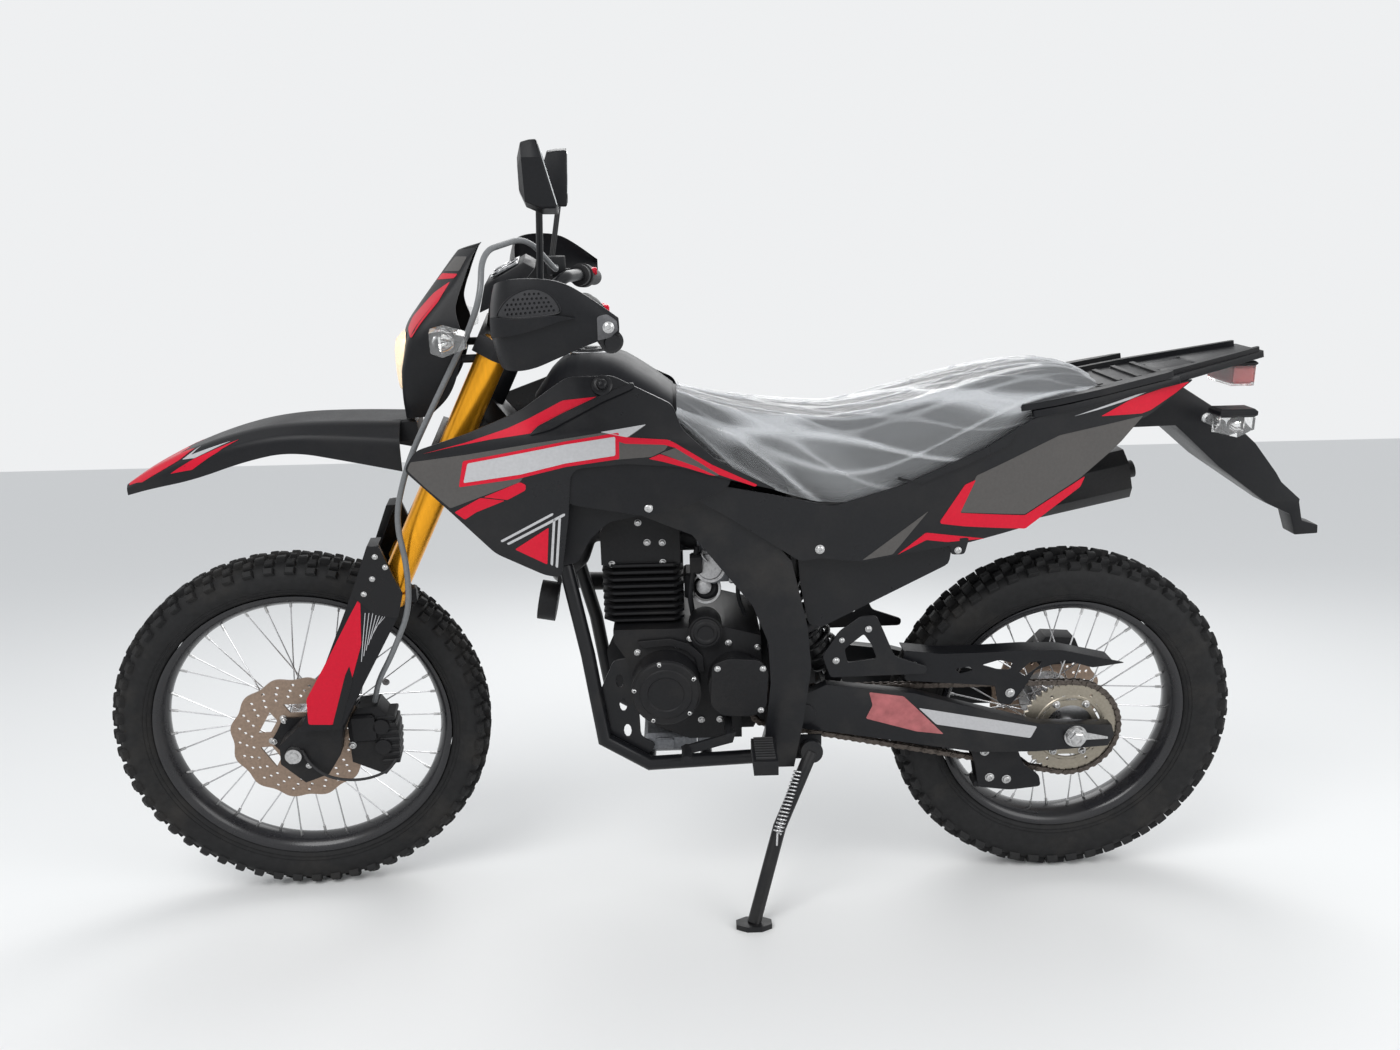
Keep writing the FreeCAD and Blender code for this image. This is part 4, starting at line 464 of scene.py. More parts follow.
class MotorcycleColours(bpy.types.PropertyGroup):
    """Colours of the painted and moulded pieces."""

    red: FloatVectorProperty(
        name="Stripe red", description="Red of stripes and fork guards", subtype="COLOR", size=3,
        default=(0.50, 0.004, 0.022), min=0, max=1)
    grey: FloatVectorProperty(
        name="Panel grey", description="Grey of the large stripes", subtype="COLOR", size=3,
        default=(0.075, 0.071, 0.068), min=0, max=1)
    silver: FloatVectorProperty(
        name="Silver", description="Pale stripes", subtype="COLOR", size=3, default=(0.42, 0.42, 0.43),
        min=0, max=1)
    black: FloatVectorProperty(
        name="Plastic black", description="Moulded black plastic", subtype="COLOR", size=3,
        default=(0.0075, 0.0078, 0.0092), min=0, max=1)
    gold: FloatVectorProperty(
        name="Fork gold", description="Anodised fork tubes", subtype="COLOR", size=3,
        default=(0.82, 0.36, 0.02), min=0, max=1)
    bronze: FloatVectorProperty(
        name="Disc bronze", description="Brake discs and sprocket", subtype="COLOR", size=3,
        default=(0.29, 0.215, 0.165), min=0, max=1)


class MotorcycleSizes(bpy.types.PropertyGroup):
    """Sizes of the dressed pieces, in metres."""

    front_radius: FloatProperty(
        name="Front tyre", description="Radius over the lugs", subtype="DISTANCE", unit="LENGTH",
        default=0.3445)
    rear_radius: FloatProperty(
        name="Rear tyre", description="Radius over the lugs", subtype="DISTANCE", unit="LENGTH",
        default=0.3245)
    front_lug: FloatProperty(
        name="Front lug", description="Height of the front lugs", subtype="DISTANCE", unit="LENGTH",
        default=0.009)
    rear_lug: FloatProperty(
        name="Rear lug", description="Height of the rear lugs", subtype="DISTANCE", unit="LENGTH",
        default=0.011)
    front_rows: IntProperty(name="Front lug rows", description="Lug rows round the front tyre", default=56)
    rear_rows: IntProperty(name="Rear lug rows", description="Lug rows round the rear tyre", default=50)
    links: IntProperty(name="Chain links", description="Links round the sprockets", default=112)


class StageSettings(bpy.types.PropertyGroup):
    """Floor, lights and camera."""

    floor: FloatVectorProperty(
        name="Floor", description="Colour of the floor", subtype="COLOR", size=3,
        default=(0.80, 0.80, 0.79), min=0, max=1)
    key: FloatProperty(name="Key light", description="Strength of the large soft light", default=95.0)
    fill: FloatProperty(name="Fill light", description="Strength of the fill light", default=40.0)
    sky: FloatProperty(name="Sky", description="Strength of the pale surroundings", default=0.75)
    lens: FloatProperty(name="Lens", description="Focal length in millimetres", default=28.09)


class MOTO_OT_finishes(bpy.types.Operator):
    """Makes the finishes that the pieces share"""

    bl_idname = "moto.finishes"
    bl_label = "Finishes"

    def execute(self, context):
        c = context.scene.moto_colours
        black = tuple(c.black)
        finish("satin_plastic", black, 0.38, dust=0.02, bump=0.2, bump_scale=1400, spec=0.24)
        finish("panel_plastic", black, 0.30, dust=0.02, bump=0.08, bump_scale=1500, spec=0.26, coat=0.06)
        finish("rough_plastic", black, 0.6, dust=0.05, bump=0.5, bump_scale=1100, spec=0.3)
        finish("frame_paint", black, 0.34, dust=0.04, bump=0.12, bump_scale=500, spec=0.28, coat=0.06)
        finish("tank_paint", (0.010, 0.0105, 0.0125), 0.52, dust=0.02, bump=0.05, spec=0.16)
        finish("red_film", tuple(c.red), 0.34, grain=0.05, dust=0.02, bump=0.03, spec=0.2, coat=0.08)
        finish("grey_film", tuple(c.grey), 0.38, grain=0.06, dust=0.02, bump=0.04, spec=0.2, coat=0.05)
        finish("silver_film", tuple(c.silver), 0.38, grain=0.05, dust=0.03, bump=0.02, coat=0.1, metal=0.25)
        finish("faded_film", (0.33, 0.10, 0.105), 0.45, grain=0.2, grain_scale=60, dust=0.1, bump=0.05,
               spec=0.3)
        finish("black_film", (0.006, 0.006, 0.007), 0.3, grain=0.05, bump=0.03, spec=0.3)
        finish("mesh_black", (0.022, 0.022, 0.024), 0.4, grain=0.1, bump=0.1, spec=0.4)
        finish("sprocket_steel", (0.30, 0.27, 0.22), 0.34, metal=0.85, grain=0.1, bump=0.08, dust=0.04)
        finish("lamp_lit", (0.95, 0.85, 0.7), 0.12, clear=0.4, glow=((1.0, 0.70, 0.40), 0.16), bump=0.05,
               ior=1.46)
        finish("bracket_grey", (0.10, 0.10, 0.105), 0.42, metal=0.5, grain=0.1, bump=0.2, dust=0.04)
        finish("tyre_rubber", (0.011, 0.011, 0.0115), 0.66, grain=0.2, grain_scale=90, dust=0.05, bump=0.6,
               bump_scale=420, spec=0.28)
        finish("grip_rubber", (0.016, 0.016, 0.017), 0.68, bump=0.4, bump_scale=700)
        finish("gold_anodised", tuple(c.gold), 0.30, metal=0.85, grain=0.06, stretch=(1, 1, 0.05), bump=0.06)
        finish("bronze_steel", tuple(c.bronze), 0.38, metal=0.8, grain=0.12, bump=0.1, dust=0.05)
        finish("bright_steel", (0.62, 0.62, 0.63), 0.26, metal=1.0, grain=0.08, bump=0.06)
        finish("zinc_bolt", (0.50, 0.50, 0.50), 0.34, metal=1.0, grain=0.2, bump=0.1, dust=0.06)
        finish("cast_alloy", (0.34, 0.34, 0.345), 0.46, metal=0.9, grain=0.2, bump=0.6, bump_scale=650,
               dust=0.05)
        finish("sump_grey", (0.13, 0.135, 0.145), 0.42, metal=0.75, grain=0.2, bump=0.5, bump_scale=650,
               dust=0.05)
        finish("engine_black", (0.009, 0.009, 0.010), 0.48, grain=0.15, bump=0.4, bump_scale=800, dust=0.03,
               spec=0.24)
        finish("exhaust_black", (0.010, 0.010, 0.011), 0.45, grain=0.2, bump=0.3, dust=0.03, spec=0.3)
        finish("rim_black", (0.012, 0.012, 0.014), 0.26, bump=0.05, dust=0.03, spec=0.5, coat=0.15)
        finish("chain_steel", (0.10, 0.085, 0.075), 0.45, metal=0.9, grain=0.3, bump=0.2)
        finish("hose_grey", (0.13, 0.135, 0.14), 0.4, grain=0.1, bump=0.2, coat=0.2)
        finish("seat_vinyl", (0.009, 0.009, 0.010), 0.55, bump=0.15, bump_scale=500, spec=0.2)
        finish("spring_black", (0.012, 0.012, 0.013), 0.3, bump=0.05, spec=0.4, coat=0.1)
        finish("mirror_glass", (0.75, 0.77, 0.78), 0.04, metal=1.0, grain=0.01, bump=0.0)
        finish("lamp_glow", (0.9, 0.75, 0.55), 0.3, glow=((1.0, 0.70, 0.40), 1.5), bump=0.0)
        finish("reflector", (0.85, 0.85, 0.84), 0.12, metal=1.0, bump=0.0)
        finish("red_lens", (0.5, 0.01, 0.01), 0.15, bump=0.02, coat=0.6)
        finish("dial_glass", (0.05, 0.055, 0.06), 0.06, bump=0.0, coat=1.0)
        # The film's pale colour, laid over the seat at low opacity, is partly the film's own haze and partly
        # painted reflection of the pale surroundings it mirrors.
        finish("clear_film", (0.80, 0.82, 0.84), 0.16, grain=0.04, bump=0.1, bump_scale=260, coat=0.6,
               see=0.3)
        finish("clear_lens", (0.93, 0.94, 0.94), 0.08, clear=0.92, bump=0.25, bump_scale=160, ior=1.46)
        return {"FINISHED"}


FINISH_NODES = {
    "tyre_rubber": "front_tyre rear_tyre",
    "rim_black": "front_rim rear_rim",
    "bright_steel": "front_hub rear_hub",
    "bronze_steel": "front_disc rear_disc rear_sprocket",
    "chain_steel": "chain",
    "gold_anodised": "fork_tubes",
    "engine_black": "fork_sliders fork_yokes front_caliper rear_caliper engine_crankcase engine_top_end horn",
    "zinc_bolt": "front_axle rear_axle",
    "frame_paint": "handlebar frame cradle subframe swingarm side_stand",
    "grip_rubber": "grips",
    "rough_plastic": "controls air_box foot_controls",
    "satin_plastic": "mirrors handguards headlamp_mask instrument_panel front_mudguard fork_guards "
                     "knee_trims luggage_rack rear_mudguard chain_guards",
    "clear_lens": "headlamp front_indicators rear_lamps",
    "hose_grey": "front_brake_hose",
    "sump_grey": "carburettor",
    "exhaust_black": "exhaust_header silencer",
    "tank_paint": "fuel_tank",
    "seat_vinyl": "seat",
    "panel_plastic": "shroud_left shroud_right side_cover_left side_cover_right",
    "spring_black": "shock_absorber",
}
SHARP_EDGE = 32.0  # degrees
SOFT_EDGES = {
    # node: edge rounding in millimetres
    "headlamp_mask": 3.0, "instrument_panel": 3.0, "front_mudguard": 1.6, "fork_guards": 2.0,
    "handguards": 2.0, "frame": 2.0, "swingarm": 2.5, "engine_crankcase": 2.5, "engine_top_end": 1.2,
    "air_box": 4.0, "silencer": 2.5, "fuel_tank": 5.0, "luggage_rack": 1.5, "rear_mudguard": 2.5,
    "chain_guards": 1.2, "foot_controls": 1.5, "fork_yokes": 2.0, "front_caliper": 2.5, "rear_caliper": 2.5,
    "fork_sliders": 2.0, "mirrors": 3.0, "controls": 1.0, "carburettor": 2.0, "knee_trims": 1.2, "horn": 1.0,
    "side_stand": 1.0,
}


class MOTO_OT_carried(bpy.types.Operator):
    """Gives every carried-over part its finish and rounds its edges"""

    bl_idname = "moto.carried"
    bl_label = "Carried-over parts"

    def execute(self, context):
        for finish_name, nodes in FINISH_NODES.items():
            for node in nodes.split():
                obj = frame["nodes"][node]
                obj.data.materials.clear()
                obj.data.materials.append(FINISHES[finish_name])
                weld = obj.modifiers.new("Weld", "WELD")
                weld.merge_threshold = 0.00002
                if node in SOFT_EDGES:
                    bevel = soft_rim(obj, SOFT_EDGES[node], "Bevel", SHARP_EDGE)
                    bevel.use_clamp_overlap = True
                    bevel.harden_normals = False
                smooth_by_angle(obj, SHARP_EDGE)
        return {"FINISHED"}


def soft_rim(obj, width, name="Rim", sharp=55.0):
    """Rounds the edges that are sharper than an angle, in degrees."""
    bevel = obj.modifiers.new(name, "BEVEL")
    bevel.width = width * MM
    bevel.segments = 2
    bevel.limit_method = "ANGLE"
    bevel.angle_limit = math.radians(sharp)
    return bevel


def smooth_by_angle(obj, degrees):
    """Smooth shading that keeps edges sharper than the angle, as a modifier after the others."""
    group = bpy.data.node_groups.get("Soft shading")
    if group is None:
        group = bpy.data.node_groups.new("Soft shading", "GeometryNodeTree")
        for way in ("INPUT", "OUTPUT"):
            group.interface.new_socket("Geometry", in_out=way, socket_type="NodeSocketGeometry")
        start = add_node(group, "NodeGroupInput")
        angle = add_node(group, "GeometryNodeInputMeshEdgeAngle")
        over = add_node(group, "FunctionNodeCompare", data_type="FLOAT", operation="LESS_THAN")
        set_node(group, over, {1: math.radians(degrees)}, {0: angle.outputs["Unsigned Angle"]})
        faces = add_node(group, "GeometryNodeSetShadeSmooth", feeds={"Geometry": start.outputs[0]})
        edges = add_node(group, "GeometryNodeSetShadeSmooth", domain="EDGE",
                         feeds={"Geometry": faces.outputs[0], "Shade Smooth": over.outputs[0]})
        add_node(group, "NodeGroupOutput", feeds={0: edges.outputs[0]})
    shading = obj.modifiers.new("Shading", "NODES")
    shading.node_group = group


# Wheels


def lug(length, width, height, lean=0.0):
    """A tread block on its base: a lower ring, an upper ring and a top drawn in by a chamfer."""
    rings = []
    for z, scale, inset in ((-4.0, 1.12, 0), (height - 1.6, 1.0, 0), (height, 1.0, 1.5)):
        a, b = length / 2 * scale - inset, width / 2 * scale - inset
        rings.append([(-a, -b, z), (a, -b + lean, z), (a, b + lean, z), (-a, b, z)])
    faces = np.concatenate([grid_faces(3, 4, False, True), [[8, 9, 10, 11]]])
    return np.concatenate(rings), faces


def tyre_profile(radius, half, lug_height, rim_radius, rim_half):
    """Half outline of the carcass from its bead over the sidewall to the crown, then mirrored."""
    crown = radius - lug_height
    side = [(rim_half - 4, rim_radius + 0.5), (rim_half + 1, rim_radius + 3), (rim_half + 6, rim_radius + 12),
            (half - 1.5, crown - 34), (half - 2.5, crown - 20), (half - 9, crown - 9),
            (half - 20, crown - 2.5), (0, crown)]
    side = softened(side, 2)
    mirror = side[::-1] * np.array([-1, 1])
    return np.concatenate([side, mirror[1:]])


def on_crown(radius, half, lug_height, across):
    """Height and slope of the carcass where a lug stands, across the tyre."""
    crown = radius - lug_height
    share = np.abs(across) / half
    drop = 24 * share ** 3.2
    slope = np.sign(across) * np.degrees(np.arctan(24 * 3.2 * share ** 2.2 / half))
    return crown - drop, np.radians(slope)


LUG_ROWS = {
    # place in the pitch, distance across, length round the tyre, width, lean of the block
    "front": ((0.0, 8.5, 15, 11, 3), (0.0, -8.5, 15, 11, -3), (0.5, 22, 14, 12, 2), (0.5, -22, 14, 12, -2),
              (0.0, 35, 17, 12, 0), (0.5, -35, 17, 12, 0), (0.5, 0, 10, 8, 0)),
    "rear": ((0.0, 10, 17, 14, 3), (0.5, -10, 17, 14, -3), (0.5, 26, 16, 13, 2), (0.0, -26, 16, 13, -2),
             (0.0, 40, 20, 13, 0), (0.5, -40, 20, 13, 0)),
}


def tread(end, radius, half, lug_height, count):
    """Every lug of a tyre: each block is set on the crown, leaned out with it and turned round the axle."""
    shapes = []
    for place, across, length, width, lean in LUG_ROWS[end]:
        points, faces = lug(length, width, lug_height + 0.6, lean)
        height, slope = on_crown(radius, half, lug_height, across)
        c, s = math.cos(slope), math.sin(slope)
        x, w, up = points[:, 0], points[:, 1], points[:, 2]
        out = height - s * w + c * up
        side = across + c * w + s * up
        out = np.minimum(out, radius)
        angle = TURN * (np.arange(count) + place) / count
        ca, sa = np.cos(angle)[:, None], np.sin(angle)[:, None]
        ring = np.stack([ca * out - sa * x, np.broadcast_to(side, (count, len(side))), sa * out + ca * x], -1)
        numbers = (np.arange(count) * len(points))[:, None, None] + faces[None]
        shapes.append((ring.reshape(-1, 3), numbers.reshape(-1, 4)))
    return merged(shapes)


class MOTO_OT_tyres(bpy.types.Operator):
    """Makes both tyres: a smooth carcass, rows of lugs and thin sidewall ribs"""

    bl_idname = "moto.tyres"
    bl_label = "Tyres"

    def execute(self, context):
        s = context.scene.moto_sizes
        rows = (("front", s.front_radius / MM, 43.0, s.front_lug / MM, s.front_rows),
                ("rear", s.rear_radius / MM, 50.0, s.rear_lug / MM, s.rear_rows))
        for end, radius, half, height, count in rows:
            rim_radius, rim_half = RIMS[end]
            profile = tyre_profile(radius, half, height, rim_radius, rim_half)
            carcass = turned(profile, 128, False)
            shapes = [carcass, tread(end, radius, half, height, count)]
            for side in (-1, 1):
                for above in (9, 15, 30):
                    ring_radius = rim_radius + above
                    bulge = np.interp(ring_radius, profile[:12, 1], profile[:12, 0])
                    ring = [(side * (bulge + out), ring_radius + up)
                            for out, up in ((-1.5, -1), (0.9, -0.4), (0.9, 0.4), (-1.5, 1))]
                    shapes.append(turned(ring, 96))
            piece(end + "_tyre_tread", shapes, end + "_wheel", "tyre_rubber", 40,
                  node=end + "_tyre")
        return {"FINISHED"}


def ring_loop(count, rows):
    """A closed loop round the origin: each row is a share of one pitch and a radius."""
    k = np.arange(count)[:, None]
    share = np.array([row[0] for row in rows])[None]
    radius = np.broadcast_to(np.array([row[1] for row in rows])[None], (count, len(rows)))
    angle = TURN * (k + share) / count
    return polar(radius, angle).reshape(-1, 2)


def hole_at(radius, angle, size, sides=8):
    """A round hole at a radius and an angle."""
    return polar(radius, angle) + polar(size, np.linspace(0, TURN, sides, endpoint=False))


def disc_shape(outer, inner, petals, side, thick):
    """A brake disc: a wavy edge r = R - w(1 + cos na)/2, slanted rows of holes and a carrier's windows."""
    angle = np.linspace(0, TURN, petals * 12, endpoint=False)
    radius = outer - 3.2 * (1 + np.cos(petals * angle))
    edge = polar(radius, angle)
    holes = []
    for k in range(petals * 2):
        turn = TURN * k / (petals * 2)
        for step in range(3):
            holes.append(hole_at(outer - 16 - 11 * step, turn + 0.07 * step, 3.2))
    bore = hole_at(0, 0, inner, 48)
    for k in range(6):
        turn = TURN * (k + 0.5) / 6
        low, high = inner + 10, outer - 50
        if high > low + 8:
            holes.append(polar(np.array([low, high, high, low]), turn + np.array([-0.30, -0.36, 0.30, 0.22])))
    hand = math.copysign(1, side)
    return skin(edge, flat_place(abs(side) + thick / 2, hand), thick, [bore] + holes, 14.0)


class MOTO_OT_discs(bpy.types.Operator):
    """Makes the drilled wavy brake discs"""

    bl_idname = "moto.discs"
    bl_label = "Brake discs"

    def execute(self, context):
        for end, outer, side in (("front", 126, -60), ("rear", 110, 68)):
            shape = disc_shape(outer, 45, 12, side, 4.0)
            piece(end + "_disc_drilled", shape, end + "_wheel", "bronze_steel", 25,
                  node=end + "_disc")
            bolts = screw_ring(5, 5, 52, side + math.copysign(2, side))
            piece(end + "_disc_bolts", bolts, end + "_wheel", "zinc_bolt")
        return {"FINISHED"}


# Rims, spokes, sprocket and chain


RIMS = {"front": (272.0, 29.0), "rear": (234.0, 35.0)}
SPOKES = 36
FRONT_SPROCKET = (878.0, 385.0)
CHAIN_LINE = -78


def rim_profile(radius, half):
    """Section of a rim from flange to flange, with a bead seat, a well and a hollow between."""
    right = [(half, radius - 0.5), (half, radius - 4), (half - 1.5, radius - 9), (half - 5, radius - 13),
             (half - 10, radius - 17), (10, radius - 22), (0, radius - 23.5)]
    inner = [(0, radius - 19), (10, radius - 18), (half - 10, radius - 8), (half - 5, radius - 6),
             (half - 4, radius - 0.5)]
    outer = right + [(-y, r) for y, r in reversed(right[:-1])]
    return outer + [(-y, r) for y, r in reversed(inner[1:])] + inner


class MOTO_OT_wheels(bpy.types.Operator):
    """Makes the rims, hubs, spokes and nipples"""

    bl_idname = "moto.wheels"
    bl_label = "Rims and spokes"

    def execute(self, context):
        for end, left, right, carrier in (("front", 57.7, 56, (52, 19)), ("rear", 74.2, 65.7, (54, 52))):
            body = end + "_wheel"
            radius, half = RIMS[end]
            piece(end + "_rim_hoop", turned(rim_profile(radius, half), 160), body, "rim_black",
                  40, node=end + "_rim")
            barrel = [(-left, 9.2), (-left, carrier[0]), (-left + 5, carrier[0]), (-left + 8, 30), (-40, 30),
                      (-38, 38), (-30, 38), (-27, 26), (-20, 23), (20, 23), (27, 26), (30, 38), (38, 38),
                      (40, 28), (right - 8, 26), (right - 6, carrier[1]), (right, carrier[1]), (right, 9.2)]
            shapes = [turned(barrel, 64)]
            k = np.arange(SPOKES)
            outer = TURN * k / SPOKES
            lean = np.where((k // 2) % 2 == 1, 1, -1)
            side = np.where(k % 2 == 1, 1, -1)
            inner = outer - lean * math.radians(62)
            flange = np.where(lean > 0, 29.5, 38.5)
            starts = np.stack([np.cos(inner) * 34, side * flange, np.sin(inner) * 34], -1)
            ends = np.stack([np.cos(outer) * (radius - 22.5), side * 6, np.sin(outer) * (radius - 22.5)], -1)
            shapes += [rod(a, b, 1.35, 8) for a, b in zip(starts, ends)]
            piece(end + "_hub_laced", shapes, body, "bright_steel", 40, node=end + "_hub")
            nipples = [rod(b + (a - b) * 0.001, b + (a - b) / np.linalg.norm(a - b) * 13, 2.6, 8)
                       for a, b in zip(starts, ends)]
            piece(end + "_nipples", nipples, body, "zinc_bolt", 40)
        return {"FINISHED"}


def sprocket_shape(teeth, tip, root, bore, side, thick):
    """A sprocket: r = root + (tip - root) sin(a)^1.4 over each tooth, with a ring of slots."""
    share = np.linspace(0, 1, 8, endpoint=False)
    rows = [(p, root + (tip - root) * abs(math.sin(math.pi * p)) ** 1.4) for p in share]
    edge = ring_loop(teeth, rows)
    holes = [hole_at(0, 0, bore, 40)]
    for k in range(6):
        turn = TURN * k / 6
        holes.append(hole_at(root - 12, turn, 3.4))
        holes.append(polar(root - np.array([28, 18, 18, 28]),
                           turn + 0.52 + np.array([-0.30, -0.26, 0.26, 0.30])))
    return skin(edge, flat_place(side + thick / 2, -1), thick, holes, 16.0)


def chain_path(count):
    """Points evenly spaced along the chain's closed line round both sprockets."""
    centres = np.array([FRONT_SPROCKET, [WHEELBASE, REAR_AXLE_HEIGHT]])
    radii = (36.6, 92.6)
    line = centres[1] - centres[0]
    reach = np.linalg.norm(line)
    tilt = math.atan2(line[1], line[0])
    spread = math.acos((radii[0] - radii[1]) / reach)
    angle = np.linspace(tilt + spread, tilt + TURN - spread, 60)
    front = centres[0] + polar(radii[0], angle)
    angle = np.linspace(tilt - spread, tilt + spread, 160)
    rear = centres[1] + polar(radii[1], angle)
    loop = np.concatenate([front, rear, front[:1]])
    along = np.concatenate([[0], np.cumsum(np.linalg.norm(np.diff(loop, axis=0), axis=1))])
    places = np.linspace(0, along[-1], count, endpoint=False)
    return np.stack([np.interp(places, along, loop[:, k]) for k in (0, 1)], -1)


def link_plate(pitch, height, waist, thick, side):
    """A side plate like a figure of eight, drawn along X from pin to pin."""
    turn = np.linspace(math.pi / 2, 3 * math.pi / 2, 6)
    left = polar(height, turn)
    right = polar(height, turn + math.pi) + [pitch, 0]
    outline = np.concatenate([left, [[pitch / 2, -waist]], right, [[pitch / 2, waist]]])
    n = len(outline)
    low = np.stack([outline[:, 0], np.full(n, side - thick / 2), outline[:, 1]], -1)
    points = np.concatenate([low, low + [0, thick, 0]])
    return points, np.concatenate([fan(n), fan(n, n), grid_faces(2, n, False, True)])


class MOTO_OT_drive(bpy.types.Operator):
    """Makes the rear sprocket and the roller chain, link by link"""

    bl_idname = "moto.drive"
    bl_label = "Sprocket and chain"

    def execute(self, context):
        shape = sprocket_shape(44, 91.5, 85.0, 45, -CHAIN_LINE, 6.0)
        ring = turned([(-82.5, 60), (-82.5, 64), (-81, 65.5), (-81, 58.5)], 96)
        piece("rear_sprocket_toothed", [shape, ring], "rear_wheel", "sprocket_steel", 25,
              node="rear_sprocket")
        piece("sprocket_nuts", screw_ring(6, 7, 55, -81), "rear_wheel", "zinc_bolt")
        count = context.scene.moto_sizes.links
        count += count % 2
        path = chain_path(count)
        ahead = np.roll(path, -1, 0) - path
        pitch = float(np.mean(np.linalg.norm(ahead, axis=1)))
        angle = np.arctan2(ahead[:, 1], ahead[:, 0])
        shapes = []
        for parity, side in ((0, 6.6), (1, 4.9)):
            plates = merged([link_plate(pitch, 5.0, 3.6, 1.5, CHAIN_LINE + way * (side - 1.2))
                             for way in (-1, 1)])
            pins = [boss([(-s, 0.01), (-s, r), (s, r), (s, 0.01)], (0, CHAIN_LINE, 0), (0, 1, 0), 10)
                    for s, r in ((3.2, 3.9), (7.2, 1.9))]
            points, faces = merged([plates] + pins) if parity == 0 else plates
            pick = np.arange(parity, count, 2)
            c, s = np.cos(angle[pick])[:, None], np.sin(angle[pick])[:, None]
            x = path[pick, 0][:, None] + c * points[:, 0] - s * points[:, 2]
            z = path[pick, 1][:, None] + s * points[:, 0] + c * points[:, 2]
            y = np.broadcast_to(points[:, 1], x.shape)
            numbers = (np.arange(len(pick)) * len(points))[:, None, None] + faces[None]
            shapes.append((np.stack([x, y, z], -1).reshape(-1, 3), numbers.reshape(-1, 4)))
        piece("roller_chain", shapes, "chassis", "chain_steel", 35, node="chain")
        return {"FINISHED"}


# Body panels


SHROUD_ROWS = (
    # x, side at the foot, side at the bend, height of the bend, side at the top
    (280, 205, 212, 896, 176), (388, 206, 212, 912, 166), (480, 202, 208, 920, 146),
    (612, 190, 196, 925, 128), (722, 177, 184, 915, 104), (808, 164, 171, 880, 112),
    (893, 150, 156, 850, 118),
)
SPEAR_BAND = ((487, 198), (612, 188), (722, 176.5), (812, 163))
COVER_BAND = ((728, 166), (812, 156), (930, 154), (1235, 151), (1316, 143), (1500, 122), (1610, 96))
SHROUD_SIDE = (
    (283, 880), (303, 910), (388, 936), (473, 968), (522, 1000), (545, 1014), (618, 1014), (716, 966),
    (730, 929), (787, 874), (889, 817), (808, 840), (722, 868), (638, 877), (560, 873), (548, 862),
    (541, 790), (524, 688), (498, 693), (419, 735), (353, 807))
SPEAR_SIDE = (
    (487, 850), (560, 885), (640, 890), (722, 880), (812, 850), (806, 828), (740, 800), (668, 785),
    (550, 810))
COVER_SIDE = (
    (729, 819), (800, 826), (893, 806), (983, 786), (1095, 818), (1235, 878), (1316, 925.55), (1599, 978.2),
    (1521, 922), (1496, 911), (1462, 868), (1311, 738), (1216, 715), (1094, 697), (1037, 686), (959, 695),
    (927, 690), (800, 776))


def shroud_side(x, z):
    """Soft minimum of the panel's lower face, which leans out, and its upper face, which leans in."""
    foot, bend, height, top = read_rows(SHROUD_ROWS, x)
    below = foot + (bend - foot) * (z - 650) / (height - 650)
    above = bend + (top - bend) * (z - height) / (1040 - height)
    return -2.5 * np.logaddexp(-below / 2.5, -above / 2.5)


def spear_side(x, z):
    """The knee trim's face with a soft ridge along it."""
    return read_rows(SPEAR_BAND, x)[0] + 3.0 * np.exp(-((z - 838 + (x - 650) * 0.05) / 26.0) ** 2)


def cover_side(x, z):
    return read_rows(COVER_BAND, x)[0]


PANEL_STRIPES = {
    # surface, then colour and outline of each stripe in the side view
    "shroud": (
        ("red", ((316, 906), (384, 922), (452, 942), (487, 956), (539, 980), (602, 984), (519, 940),
                 (488, 933), (424, 926), (364, 916))),
        ("grey", ((295, 893), (383, 903), (487, 917), (623, 932), (673, 938), (643, 920), (713, 913),
                  (702, 897), (680, 887), (621, 885), (565, 884), (508, 877), (476, 867), (467, 855),
                  (403, 833), (352, 815), (315, 851), (289, 880))),
        ("red", ((358, 808), (402, 831), (441, 825), (393, 807), (374, 795))),
        ("red", ((407, 832), (467, 855), (476, 850), (475, 841), (445, 826))),
        ("red", ((451, 741), (508, 776), (502, 712))),
        ("silver", ((428, 757), (512, 799), (517, 801), (517, 797), (431, 754))),
        ("silver", ((438, 752), (532, 798), (536, 799), (536, 795), (441, 749))),
        ("silver", ((516, 791), (520, 791), (511, 709), (507, 712))),
        ("silver", ((525, 792), (529, 792), (519, 705), (515, 707))),
    ),
    "shroud_over": (
        ("red", ((379, 893), (543, 919), (629, 929), (628, 886), (541, 877), (465, 861), (369, 850))),
        ("red", ((629, 924), (642, 921), (707, 914), (719, 908), (779, 868), (854, 829), (850, 826),
                 (791, 850), (751, 878), (719, 900), (702, 906), (638, 911), (628, 915))),
        ("red", ((675, 884), (694, 891), (704, 887), (726, 878), (752, 867), (785, 849), (775, 851),
                 (738, 865), (698, 878))),
        ("silver", ((599, 931), (673, 939), (642, 921), (629, 924))),
        ("grey", ((694, 892), (719, 900), (751, 878), (791, 850), (785, 849), (752, 867), (726, 878),
                  (704, 888))),
    ),
    "shroud_top": (
        ("silver", ((386, 889), (543, 914), (623, 923), (622, 892), (541, 883), (470, 868), (377, 857))),
    ),
    "cover": (
        ("grey", ((1223, 832), (1363, 895), (1509, 921), (1473, 879), (1456, 863), (1404, 819), (1311, 761),
                  (1197, 769))),
        ("red", ((1093, 697), (1141, 735), (1243, 721), (1178, 717), (1142, 722))),
        ("grey", ((1033, 689), (1144, 773), (1085, 698))),
        ("red", ((1433, 924), (1486, 951), (1544, 967), (1590, 974), (1565, 956), (1522, 930), (1506, 925))),
        ("silver", ((1385, 926), (1477, 953), (1530, 968), (1482, 950), (1426, 935))),
    ),
    "cover_over": (
        ("red", ((1222, 825), (1198, 768), (1311, 759), (1413, 822), (1406, 804), (1313, 735), (1207, 744),
                 (1166, 750), (1164, 754), (1204, 817))),
    ),
}
